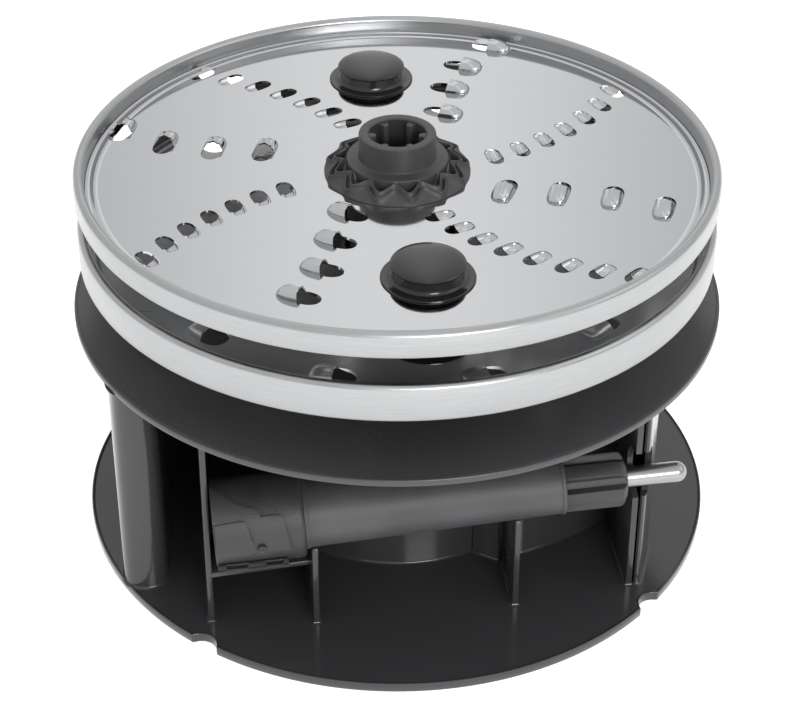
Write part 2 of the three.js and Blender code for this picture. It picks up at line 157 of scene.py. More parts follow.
# ---- forms ----------------------------------------------------------------------------------
@dataclass
class Form:
    """A surface under construction: points in millimetres and faces as lists of point numbers."""

    points: list[Space] = field(default_factory=list)
    faces: list[tuple[int, ...]] = field(default_factory=list)

    def add(self, other: "Form") -> "Form":
        """Adds another form's points and faces to this one.

        Args:
            other: The form to add.

        Returns:
            This form.
        """
        start = len(self.points)
        self.points += other.points
        self.faces += [tuple(start + i for i in face) for face in other.faces]
        return self

    def placed(self, matrix: Matrix) -> "Form":
        """A copy of the form moved by a matrix."""
        return Form([tuple(matrix @ Vector(p)) for p in self.points], list(self.faces))

    @staticmethod
    def stacked(rings: Sequence[Sequence[Space]], capped: bool = True, looped: bool = False) -> "Form":
        """Skin over rings of one point count.

        Args:
            rings: The rings, in order.
            capped: Whether the first and last ring are closed by a face.
            looped: Whether the last ring joins the first instead.

        Returns:
            The skin as a form.
        """
        count, layers = len(rings[0]), len(rings)
        form = Form([tuple(p) for ring in rings for p in ring])
        for k in range(layers if looped else layers - 1):
            low, high = k * count, ((k + 1) % layers) * count
            for i in range(count):
                j = (i + 1) % count
                form.faces.append((low + i, low + j, high + j, high + i))
        if capped and not looped:
            form.faces.append(tuple(reversed(range(count))))
            form.faces.append(tuple(range((layers - 1) * count, layers * count)))
        return form

    @staticmethod
    def turned(profile: Callable[[float], Outline] | Outline, segments: int = 128,
               angles: Optional[list[float]] = None) -> "Form":
        """Closed ring about Z.

        Args:
            profile: Closed (radius, height) outline, or a function from an angle in radians to one.
            segments: Even steps round the axis.
            angles: Angles in radians to use instead of even steps.

        Returns:
            The ring as a form; points on the axis fall together and are merged later.
        """
        rings = []
        for turn in angles or [math.tau * i / segments for i in range(segments)]:
            outline = profile(turn) if callable(profile) else profile
            rings.append([(r * math.cos(turn), r * math.sin(turn), z) for r, z in outline])
        return Form.stacked(rings, looped=True)

    @staticmethod
    def slab(outline: Outline, edge: Outline) -> "Form":
        """Body over a plan outline whose edge follows (inset, height) steps from the bottom up."""
        return Form.stacked([[(x, y, z) for x, y in inset(outline, d)] for d, z in edge])

    @staticmethod
    def plank(outline: Outline, low: float, high: float) -> "Form":
        """Plain prism over a plan outline."""
        return Form.stacked([[(x, y, z) for x, y in outline] for z in (low, high)])

    @staticmethod
    def box(low: Space, high: Space) -> "Form":
        """Block between two corners."""
        plan = [(low[0], low[1]), (high[0], low[1]), (high[0], high[1]), (low[0], high[1])]
        return Form.plank(plan, low[2], high[2])


LAID = Matrix(((0, 0, 1, 0), (0, 1, 0, 0), (-1, 0, 0, 0), (0, 0, 0, 1)))
"""Turns a form built along Z so that it lies along X."""
UPRIGHT_ACROSS_X = Matrix(((0, 0, 1, 0), (1, 0, 0, 0), (0, 1, 0, 0), (0, 0, 0, 1)))
"""Stands a plan outline of (y, z) points up as a plate across X."""
UPRIGHT_ACROSS_Y = Matrix(((1, 0, 0, 0), (0, 0, 1, 0), (0, 1, 0, 0), (0, 0, 0, 1)))
"""Stands a plan outline of (x, z) points up as a plate across Y."""


# ---- finishes -------------------------------------------------------------------------------
def linear(code: str) -> tuple[float, float, float, float]:
    """Linear colour, with alpha, of an sRGB hex value such as "3a3a3c"."""
    parts = [int(code[i:i + 2], 16) / 255 for i in (0, 2, 4)]
    return (*[c / 12.92 if c <= 0.04045 else ((c + 0.055) / 1.055) ** 2.4 for c in parts], 1.0)


def add_node(tree: bpy.types.NodeTree, kind: str, inputs: Optional[dict] = None,
             **settings: object) -> bpy.types.Node:
    """Adds one node with its settings, values and links.

    Args:
        tree: The node tree.
        kind: The node's type.
        inputs: Input name or number to what it gets: a value, an output socket, a node whose first output
            is meant, or a list of these where an input takes several.
        **settings: The node's own properties.

    Returns:
        The new node.
    """
    node = tree.nodes.new(kind)
    for name, value in settings.items():
        setattr(node, name, value)
    for name, given in (inputs or {}).items():
        for one in given if isinstance(given, list) else [given]:
            source = one.outputs[0] if isinstance(one, bpy.types.Node) else one
            if isinstance(source, bpy.types.NodeSocket):
                tree.links.new(source, node.inputs[name])
            else:
                node.inputs[name].default_value = source
    return node


class Grain(Enum):
    """How the fine marks of a surface lie."""

    EVEN = "even"
    AROUND = "around the Z axis"
    ALONG_X = "along X"


@dataclass(frozen=True)
class Finish:
    """One material: what it is, how light or dark it is and what marks its surface has.

    The tint and the roughness swing between two values, over clouds and over the fine marks of the grain.
    """

    name: str
    tint: str
    tint_worn: str
    roughness: float
    roughness_swing: float
    grain: Grain
    grain_mm: float
    grain_height_mm: float
    metallic: float = 0.0
    ior: float = 1.5
    cloud_mm: float = 30.0
    stretch: float = 40.0
    glow: float = 0.0

    def material(self) -> bpy.types.Material:
        """The finish as a node material, made once.

        Returns:
            The material.
        """
        found = bpy.data.materials.get(self.name)
        if found:
            return found
        made = bpy.data.materials.new(self.name)
        made.use_nodes = True
        tree = made.node_tree
        tree.nodes.clear()
        place = add_node(tree, "ShaderNodeTexCoord").outputs["Object"]
        clouds = add_node(tree, "ShaderNodeTexNoise",
                          {"Vector": place, "Scale": 1000 / self.cloud_mm, "Detail": 3.0})
        marks = add_node(tree, "ShaderNodeTexNoise",
                         {"Vector": self._along_grain(tree, place), "Scale": 1000 / self.grain_mm,
                          "Detail": 4.0, "Roughness": 0.6})
        tint = add_node(tree, "ShaderNodeMix",
                        {0: clouds if self.grain is Grain.EVEN else marks,
                         6: linear(self.tint), 7: linear(self.tint_worn)}, data_type="RGBA")
        half = add_node(tree, "ShaderNodeMath", {0: marks, 1: 0.5}, operation="MULTIPLY")
        blend = add_node(tree, "ShaderNodeMath", {0: clouds, 1: 0.5, 2: half}, operation="MULTIPLY_ADD")
        rough = add_node(tree, "ShaderNodeMapRange",
                         {"Value": blend, "From Min": 0.3, "From Max": 0.7,
                          "To Min": max(0.02, self.roughness - self.roughness_swing),
                          "To Max": self.roughness + self.roughness_swing})
        bump = add_node(tree, "ShaderNodeBump",
                        {"Height": marks, "Strength": 1.0, "Distance": self.grain_height_mm * MM})
        shader = add_node(tree, "ShaderNodeBsdfPrincipled",
                          {"Base Color": tint.outputs[2], "Roughness": rough, "Normal": bump,
                           "Metallic": self.metallic, "IOR": self.ior, "Emission Strength": self.glow})
        add_node(tree, "ShaderNodeOutputMaterial", {"Surface": shader})
        return made

    def _along_grain(self, tree: bpy.types.NodeTree, place: bpy.types.NodeSocket) -> bpy.types.NodeSocket:
        """Coordinates drawn out along the grain where the finish has a direction.

        Args:
            tree: The material's tree.
            place: The object coordinates.

        Returns:
            The socket of the drawn out coordinates.
        """
        if self.grain is Grain.EVEN:
            return place
        if self.grain is Grain.ALONG_X:
            return add_node(tree, "ShaderNodeMapping",
                            {"Vector": place, "Scale": (1 / self.stretch, 1, 1)}).outputs[0]
        parts = add_node(tree, "ShaderNodeSeparateXYZ", {0: place})
        spin = add_node(tree, "ShaderNodeMath", {0: parts.outputs[1], 1: parts.outputs[0]},
                        operation="ARCTAN2")
        slow = add_node(tree, "ShaderNodeMath", {0: spin, 1: RIM_METRES / self.stretch}, operation="MULTIPLY")
        level = add_node(tree, "ShaderNodeVectorMath", {0: place, 1: (1, 1, 0)}, operation="MULTIPLY")
        reach = add_node(tree, "ShaderNodeVectorMath", {0: level}, operation="LENGTH").outputs["Value"]
        return add_node(tree, "ShaderNodeCombineXYZ", {0: slow, 1: reach, 2: parts.outputs[2]}).outputs[0]


# Injected ABS from a polished mould: near black and glossy, with a faint orange peel 3 mm across.
GLOSS_ABS = Finish("gloss_abs", "343436", "38383a", 0.14, 0.03, Grain.EVEN, 3.0, 0.006, ior=1.52)
# The plate under the discs, ABS from a lightly spark-eroded mould: a satin sheen. Its grain of about
# 0.1 mm is drawn at 0.5 mm, so that it shows.
SATIN_ABS = Finish("satin_abs", "3d3d3f", "424244", 0.3, 0.04, Grain.EVEN, 0.5, 0.006)
# Glass-filled polyamide from an eroded mould: dull, because its grain scatters the light. The grain of
# about 0.2 mm is drawn at 0.5 mm, so that it shows.
ERODED_NYLON = Finish("eroded_nylon", "262628", "3a3a3c", 0.46, 0.08, Grain.EVEN, 0.5, 0.09, cloud_mm=9.0)
# The tube between them is the same resin. Its lighter tint is painted light: the tube stands more in the
# light than the collar and head, which keep the darker tint where the plate shades them.
TUBE_NYLON = Finish("tube_nylon", "363638", "515153", 0.48, 0.06, Grain.EVEN, 0.5, 0.08, cloud_mm=14.0)
# The same resin in a smoother mould: satin, with flow marks 7 mm wide.
HUB_NYLON = Finish("hub_nylon", "2b2b2d", "3f3f41", 0.42, 0.07, Grain.EVEN, 0.4, 0.06, cloud_mm=7.0)
# Moulded ABS caps of the grips: soft reflections, almost no grain.
GRIP_ABS = Finish("grip_abs", "1b1b1d", "202022", 0.17, 0.03, Grain.EVEN, 0.6, 0.006)
# Bright cold-rolled stainless sheet: nearly a mirror. Its fine rolling lines along X are drawn 0.5 mm
# apart, so that they show.
ROLLED_STEEL = Finish("rolled_stainless", "b8b9bb", "bfc0c1", 0.07, 0.02, Grain.ALONG_X, 0.5, 0.0012,
                      metallic=1.0)
# The sheet of the lower disc is pickled, not polished: a broad, slightly milky sheen.
PICKLED_STEEL = Finish("pickled_stainless", "b4b5b7", "c0c1c2", 0.3, 0.04, Grain.ALONG_X, 0.5, 0.0012,
                       metallic=0.72)
# The rim is brushed while it turns, so its lines run round it; they too are drawn coarser than they are.
BRUSHED_STEEL = Finish("brushed_stainless", "9a9b9c", "b8b9ba", 0.34, 0.1, Grain.AROUND, 0.35, 0.01,
                       metallic=1.0, stretch=30.0)
# Ground stainless rod: a soft, even shine.
GROUND_STEEL = Finish("ground_stainless", "9a9a9a", "a6a6a6", 0.3, 0.04, Grain.EVEN, 0.5, 0.002,
                      metallic=1.0)
# Painted studio floor that glows a little, so that it stays white under the object.
PALE_FLOOR = Finish("pale_floor", "f2f2f2", "f6f6f6", 0.6, 0.02, Grain.EVEN, 4.0, 0.0, ior=1.45, glow=0.6)



# ---- pieces ---------------------------------------------------------------------------------
@dataclass(frozen=True)
class Piece:
    """What a finished piece is called, stands for and rides on."""

    name: str
    body: str
    slot: str
    finish: Finish
    replaces: tuple[str, ...] = ()


def bare_object(name: str, form: Form) -> bpy.types.Object:
    """A linked object with a form's mesh, in metres, doubles merged and faces pointing out.

    Args:
        name: Name of the object and its mesh.
        form: The form, in millimetres.

    Returns:
        The object.
    """
    mesh = bpy.data.meshes.new(name)
    mesh.from_pydata([tuple(c * MM for c in p) for p in form.points], [], form.faces)
    made = bpy.data.objects.new(name, mesh)
    bpy.context.scene.collection.objects.link(made)
    tidy_mesh(mesh)
    return made


def tidy_mesh(mesh: bpy.types.Mesh, upward: bool = False) -> None:
    """Merges doubles and points the faces outwards.

    Args:
        mesh: The mesh to clean.
        upward: Whether the mesh is an open sheet whose faces should point up instead.
    """
    work = bmesh.new()
    work.from_mesh(mesh)
    bmesh.ops.remove_doubles(work, verts=work.verts, dist=2e-6)
    bmesh.ops.dissolve_degenerate(work, dist=1e-7, edges=work.edges)
    bmesh.ops.recalc_face_normals(work, faces=work.faces)
    if upward and sum(f.normal.z * f.calc_area() for f in work.faces) < 0:
        bmesh.ops.reverse_faces(work, faces=work.faces)
    work.to_mesh(mesh)
    work.free()


def frozen(made: bpy.types.Object) -> bpy.types.Object:
    """Turns an object's modifiers into plain mesh.

    Args:
        made: The object.

    Returns:
        The same object, without modifiers.
    """
    bpy.context.view_layer.update()
    evaluated = made.evaluated_get(bpy.context.evaluated_depsgraph_get())
    mesh = bpy.data.meshes.new_from_object(evaluated)
    made.modifiers.clear()
    made.data = mesh
    return made


def bevelled(made: bpy.types.Object, width: float, segments: int = 3, angle: float = 32) -> bpy.types.Object:
    """The object with its sharp edges rounded.

    Args:
        made: The object.
        width: Bevel width in millimetres.
        segments: Steps across each bevel.
        angle: Edges sharper than this many degrees are rounded.

    Returns:
        The same object with a plain mesh.
    """
    cut = made.modifiers.new("bevel", "BEVEL")
    cut.width = width * MM
    cut.segments = segments
    cut.limit_method = "ANGLE"
    cut.angle_limit = math.radians(angle)
    cut.use_clamp_overlap = True
    return frozen(made)


def thickened(made: bpy.types.Object, thick: float, even: bool = True) -> bpy.types.Object:
    """Gives an open sheet a thickness below its face.

    Args:
        made: The sheet.
        thick: Thickness in millimetres; it is less where the mesh is finer than that.
        even: Whether corners keep the full thickness.

    Returns:
        The same object with a plain mesh.
    """
    wall = made.modifiers.new("wall", "SOLIDIFY")
    wall.thickness = thick * MM
    wall.offset = -1
    wall.use_even_offset = even
    wall.thickness_clamp = 1.0
    return frozen(made)


def dressed(made: bpy.types.Object, piece: Piece, smooth: float = 34) -> None:
    """Names, shades, paints and rides a finished object.

    Args:
        made: The object, with a plain mesh.
        piece: Its name, body, slot, finish and the nodes it stands for.
        smooth: Edges flatter than this many degrees are shaded smooth.
    """
    made.name = piece.name
    made.data.name = piece.name
    made.data.set_sharp_from_angle(angle=math.radians(smooth))
    made.data.polygons.foreach_set("use_smooth", [abs(f.normal.z) < LEVEL for f in made.data.polygons])
    made.data.materials.clear()
    made.data.materials.append(piece.finish.material())
    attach(made, piece.body)
    if piece.replaces:
        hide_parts(*piece.replaces)
    log.info("%s: %d faces, rides on %s", piece.name, len(made.data.polygons), piece.body)


def joined(first: bpy.types.Object, *others: bpy.types.Object) -> bpy.types.Object:
    """Moves the meshes of other objects into the first one.

    Args:
        first: The object that is kept.
        *others: The objects whose meshes it takes, which are removed.

    Returns:
        The first object.
    """
    work = bmesh.new()
    for made in (first, *others):
        work.from_mesh(made.data)
    work.to_mesh(first.data)
    work.free()
    for made in others:
        bpy.data.objects.remove(made)
    return first


# ---- geometry node trees --------------------------------------------------------------------
@dataclass
class NodeRecipe:
    """A geometry node tree with named inputs, built step by step."""

    name: str
    tree: bpy.types.NodeTree = field(init=False)
    entry: bpy.types.Node = field(init=False)

    def __post_init__(self) -> None:
        """Starts an empty tree with a geometry input and output."""
        self.tree = bpy.data.node_groups.new(self.name, "GeometryNodeTree")
        for direction in ("INPUT", "OUTPUT"):
            self.tree.interface.new_socket("Geometry", in_out=direction, socket_type="NodeSocketGeometry")
        self.entry = self.tree.nodes.new("NodeGroupInput")

    def named(self, name: str, kind: str) -> bpy.types.NodeSocket:
        """Adds a named input such as "Copies" of a socket kind such as "Int" and returns its socket."""
        self.tree.interface.new_socket(name, in_out="INPUT", socket_type=f"NodeSocket{kind}")
        return self.entry.outputs[name]

    def node(self, kind: str, inputs: Optional[dict] = None, **settings: object) -> bpy.types.Node:
        """Adds one node to the tree."""
        return add_node(self.tree, kind, inputs, **settings)

    def finish(self, result: bpy.types.Node, paint: bpy.types.NodeSocket) -> None:
        """Ends the tree in Realize Instances and Set Material."""
        real = self.node("GeometryNodeRealizeInstances", {0: result})
        self.node("NodeGroupOutput",
                  {0: self.node("GeometryNodeSetMaterial", {"Geometry": real, "Material": paint})})

    def run(self, name: str, inputs: dict[str, object]) -> bpy.types.Object:
        """Runs the tree on an empty mesh.

        Args:
            name: Name of the object that holds the result.
            inputs: Input name to value.

        Returns:
            The object with the result as a plain mesh.
        """
        made = bpy.data.objects.new(name, bpy.data.meshes.new(name))
        bpy.context.scene.collection.objects.link(made)
        modifier = made.modifiers.new("recipe", "NODES")
        modifier.node_group = self.tree
        sockets = {s.name: s.identifier for s in self.tree.interface.items_tree if s.in_out == "INPUT"}
        for key, value in inputs.items():
            modifier[sockets[key]] = value
        return frozen(made)


def ring_recipe() -> NodeRecipe:
    """Tree that sets copies of one shape evenly round the Z axis.

    Returns:
        The recipe, with the inputs Copies, Phase, Shape and Material.
    """
    recipe = NodeRecipe("copies_round_an_axis")
    copies, phase = recipe.named("Copies", "Int"), recipe.named("Phase", "Float")
    shape, paint = recipe.named("Shape", "Object"), recipe.named("Material", "Material")
    step = recipe.node("ShaderNodeMath", {0: math.tau, 1: copies}, operation="DIVIDE")
    turn = recipe.node("ShaderNodeMath", {0: recipe.node("GeometryNodeInputIndex"), 1: step, 2: phase},
                       operation="MULTIPLY_ADD")
    line = recipe.node("GeometryNodeMeshLine", {"Count": copies, "Offset": (0, 0, 0)})
    source = recipe.node("GeometryNodeObjectInfo", {"Object": shape})
    placed = recipe.node("GeometryNodeInstanceOnPoints",
                         {"Points": line, "Instance": source.outputs["Geometry"],
                          "Rotation": recipe.node("ShaderNodeCombineXYZ", {2: turn})})
    recipe.finish(placed, paint)
    return recipe



def ring_of(shape: Form, copies: int, phase: float, finish: Finish, width: float) -> bpy.types.Object:
    """Copies of a bevelled form round the Z axis, as one plain object.

    Args:
        shape: The form at angle 0.
        copies: Number of copies.
        phase: Angle of the first copy in degrees.
        finish: The finish they share.
        width: Bevel width in millimetres.

    Returns:
        The object.
    """
    master = bevelled(bare_object("ring_master", shape), width, 2)
    recipe = ring_recipe()
    made = recipe.run("ring", {"Copies": copies, "Phase": math.radians(phase), "Shape": master,
                               "Material": finish.material()})
    bpy.data.objects.remove(master)
    return made


# ---- the case -------------------------------------------------------------------------------
@dataclass
class StorageCase:
    """Moulded case: two round plates with walls, fins and a round silo between them."""

    radius: float = 93.0
    plate_radius: float = 92.8
    floor: float = 2.4
    bead: float = 2.9
    plate_low: float = 70.3
    plate_high: float = 72.4
    fin: float = 1.7
    silo_radius: float = 42.4
    notch_angles: tuple[float, ...] = (-132.3, -46.5)
    fillet: float = 0.9
    stem_y: float = -58.5
    stem_z: float = 38.8
    stem_tilt: float = 0.04

    def build(self) -> None:
        """Builds every moulded part of the case."""
        self._solid("base_plate", self._base())
        self._solid("top_plate", self._plate(), SATIN_ABS)
        self._solid("disc_post", Form.turned(self._post(), 96))
        self._solid("left_wall", self._wall(soften(self._left_plan(), 3)))
        self._right_wall()
        self._solid("rear_wall", self._wall(ribbon(arc((-2.7, 4.4), 82, 28.1, 149.6, 60), 2.0)))
        self._solid("front_wall", self._wall(ribbon(arc((3.8, 49.1), 94.2, -73, -50.2, 28), self.fin)))
        self._solid("silo_web", self._wall(ribbon([(18.3, -39.3), (23.9, -43.3)], self.fin)))
        self._solid("central_silo", Form.turned(self._silo(), 160))
        self._dress("stem_shelf", bevelled(bare_object("stem_shelf", self._shelf()), 0.3))
        self._fin("fin_1", -60.8, [(-60.5, 2.2), (-38.0, 2.2), (-38.0, 70.5), (-60.5, 70.5)])
        self._fin("fin_2", -31.6, self._saddle(-31.6, -64.8, -30.5, 29.4, 10.0))
        self._fin("fin_3", 24.9, self._saddle(24.9, -64.2, -44.2, 33.0, 9.0))
        self._fin("fin_4", 58.7, self._notched(-59.7, -36.0))

    def _dress(self, name: str, made: bpy.types.Object, finish: Finish = GLOSS_ABS) -> None:
        """Dresses an object as the case piece of that name."""
        dressed(made, Piece(f"{name}_moulding", "case", "case_plastic", finish, (name,)))

    def _solid(self, name: str, form: Form, finish: Finish = GLOSS_ABS) -> None:
        """Dresses a form as the case piece of that name."""
        self._dress(name, bare_object(name, form), finish)

    def _edge_radius(self, degrees: float) -> float:
        """Radius of the base's edge, with a shallow round bite at each notch.

        Args:
            degrees: Angle round the base.

        Returns:
            The radius there.
        """
        radius = self.radius
        reach, bite, blend = self.radius + 1.8, 4.6, 0.9
        for notch in self.notch_angles:
            away = math.radians((degrees - notch + 180) % 360 - 180)
            inside = bite**2 - (reach * math.sin(away)) ** 2
            if abs(away) < 0.3 and inside > 0:
                near = reach * math.cos(away) - math.sqrt(inside)
                gap = max(0.0, blend - abs(radius - near)) / blend
                radius = min(radius, near) - gap * gap * blend / 4
        return radius

    def _base(self) -> Form:
        """Foot plate with a thin raised bead along its edge.

        Returns:
            The plate, with finer steps round the two notches.
        """
        coarse = [360 * i / 240 for i in range(240)]
        fine = [(notch + 0.1 * i) % 360 for notch in self.notch_angles for i in range(-40, 41)]
        edge = [(0.5, 0.0), (0.15, 0.12), (0.0, 0.4), (0.0, 2.55), (0.06, 2.78), (0.22, self.bead),
                (0.42, self.bead), (0.6, 2.78), (0.7, 2.55), (1.0, self.floor), (1.5, self.floor)]

        def side(turn: float) -> Outline:
            """Closed (radius, height) outline of the plate at an angle in radians."""
            out = self._edge_radius(math.degrees(turn))
            return [(0.0, 0.0), *[(out - d, z) for d, z in edge], (0.0, self.floor)]

        return Form.turned(side, angles=[math.radians(a) for a in sorted(set(coarse + fine))])

    def _plate(self) -> Form:
        """Slightly dished plate with a round edge."""
        low, high = self.plate_low, self.plate_high
        edge = [(0.7, low), (0.3, low + 0.06), (0.07, low + 0.25), (0.0, low + 0.5), (0.0, high - 0.42),
                (0.06, high - 0.2), (0.2, high - 0.05), (0.42, high), (0.75, high), (1.0, high - 0.1),
                (1.3, high - 0.14), (4.0, high - 0.3), (12, high - 0.5), (30, high - 0.7), (50, high - 0.8)]
        side = [(0.0, low), *[(self.plate_radius - d, z) for d, z in edge], (0.0, high - 0.8)]
        return Form.turned(side, 240)

    def _post(self) -> Outline:
        """Stepped spigot that carries the discs."""
        foot, bore, shoulder, collar = self.plate_high - 0.85, 7.6, 14.3, 10.6
        return [(bore, foot), (shoulder + 1.2, foot), (shoulder + 0.4, foot + 0.4), (shoulder, foot + 1.2),
                (shoulder, 75.8), (shoulder - 0.4, 76.2), (collar + 0.5, 76.2), (collar, 76.6),
                (collar, 83.2), (collar - 0.3, 83.8), (collar - 0.8, 84.0), (bore + 0.4, 84.0), (bore, 83.6)]

    def _left_plan(self) -> Outline:
        """Plan of the hollow left wall, round at both ends."""
        front = [(-84.2, -34.5), (-83.8, -39.4), (-82.0, -42.6), (-78.4, -44.0), (-74.2, -43.6),
                 (-71.6, -41.0), (-70.8, -36.0), (-69.8, -22.0), (-69.0, -6.0)]
        return front + [(x, -y) for x, y in reversed(front)]

    def _right_line(self) -> Outline:
        """Middle line of the wall that slants outward and runs back."""
        bend = soften([(62.0, -58.6), (67.0, -46.6), (68.0, -43.0), (68.0, -36.0)], 3, closed=False)
        return bend + [(68.0, y) for y in (-10.0, 15.0, 40.0)]

    def _right_wall(self) -> None:
        """Right wall, with room cut in its front end for the steel pin."""
        made = bare_object("right_wall", self._wall(ribbon(self._right_line(), 1.8)))
        room = [(-64.0, 34.6), (-56.8, 34.6), (-54.6, 36.4), (-54.0, 40.0), (-54.0, 45.5), (-54.8, 48.4),
                (-57.0, 49.8), (-64.0, 49.8)]
        tool = bare_object("pin_room", Form.plank(room, 58.0, 66.5).placed(UPRIGHT_ACROSS_X))
        cut = made.modifiers.new("cut", "BOOLEAN")
        cut.operation, cut.object, cut.solver = "DIFFERENCE", tool, "EXACT"
        frozen(made)
        bpy.data.objects.remove(tool)
        self._dress("right_wall", made)

    def _wall(self, outline: Outline) -> Form:
        """Upright wall that runs into both plates with a fillet."""
        return Form.slab(outline, self._fillets())

    def _fillets(self) -> Outline:
        """Steps of an upright with fillets at the base and under the plate.

        Returns:
            (inset, height) steps from the bottom up.
        """
        f, low, high = self.fillet, self.floor - 0.2, self.plate_low + 0.2
        curve = [(f - f * math.sin(math.radians(a)), f - f * math.cos(math.radians(a)))
                 for a in (0, 22, 45, 68, 90)]
        foot = [(-out, self.floor + up) for out, up in curve]
        head = [(-out, self.plate_low - up) for out, up in reversed(curve)]
        return [(foot[0][0], low), *foot, *head, (head[-1][0], high)]

    def _silo(self) -> Outline:
        """Closed (radius, height) outline of the silo's wall."""
        outer = [(self.silo_radius - d, z) for d, z in self._fillets()]
        inner = self.silo_radius - 2.0
        return [(inner, outer[0][1]), *outer, (inner, outer[-1][1])]

    def _shelf(self) -> Form:
        """Ledge under the stem's collar, rising to the right."""
        outline = [(-59.4, 18.87), (-31.2, 20.85), (-31.2, 22.45), (-59.4, 20.47)]
        return Form.plank(outline, -61.0, -44.0).placed(UPRIGHT_ACROSS_Y)

    def _saddle(self, x: float, front: float, back: float, lip: float, seat: float) -> Outline:
        """Side outline of a fin whose top is a seat for the stem.

        Args:
            x: The fin's left face.
            front: Its front edge.
            back: Its back edge.
            lip: Height of the front lip.
            seat: Radius of the round seat.

        Returns:
            The closed outline of (y, z) points.
        """
        centre = self.stem_z + self.stem_tilt * (x + self.fin / 2)
        bowl = [p for p in arc((self.stem_y, centre), seat, 196, 344, 22)
                if p[0] > front + 1.2 and p[1] < centre - 1]
        rear = bowl[-1]
        return [(front, 2.2), (back, 2.2), (back, centre + 4), (rear[0] + 1.5, centre + 4),
                (rear[0] + 1.2, centre + 1), *reversed(bowl), (front + 0.9, lip), (front + 0.25, lip - 0.4),
                (front, lip - 1.2)]

    def _notched(self, front: float, back: float) -> Outline:
        """Side outline of the last fin, with the open notch for the steel pin.

        Args:
            front: Its front edge.
            back: Its back edge.

        Returns:
            The closed outline of (y, z) points.
        """
        notch = soften([(front, 34.2), (front + 1.6, 34.7), (front + 6.4, 36.2), (front + 8.8, 39.2),
                        (front + 9.0, 42.6), (front + 8.0, 46.4), (front + 5.0, 48.9), (front, 49.6)], 2,
                       closed=False)
        return [(front, 2.2), (back, 2.2), (back, 70.5), (front, 70.5), *reversed(notch)]

    def _fin(self, name: str, x: float, side: Outline) -> None:
        """Thin upright fin with rounded edges and a small fillet at its foot.

        Args:
            name: The fin's node.
            x: Its left face.
            side: Its side outline of (y, z) points.
        """
        upright = Form.plank(side, x, x + self.fin).placed(UPRIGHT_ACROSS_X)
        made = bevelled(bare_object(name, upright), 0.32)
        front, back = min(p[0] for p in side), max(p[0] for p in side)
        plan = [(x, front), (x + self.fin, front), (x + self.fin, back), (x, back)]
        f = self.fillet * 0.7
        flare = [(-f, 2.2), (-f, self.floor + 0.02), (-f * 0.4, self.floor + f * 0.25),
                 (-f * 0.1, self.floor + f * 0.6), (0.05, self.floor + f), (0.3, self.floor + f + 0.1)]
        foot = bare_object(f"{name}_foot", Form.slab(plan, flare))
        self._dress(name, joined(made, foot))


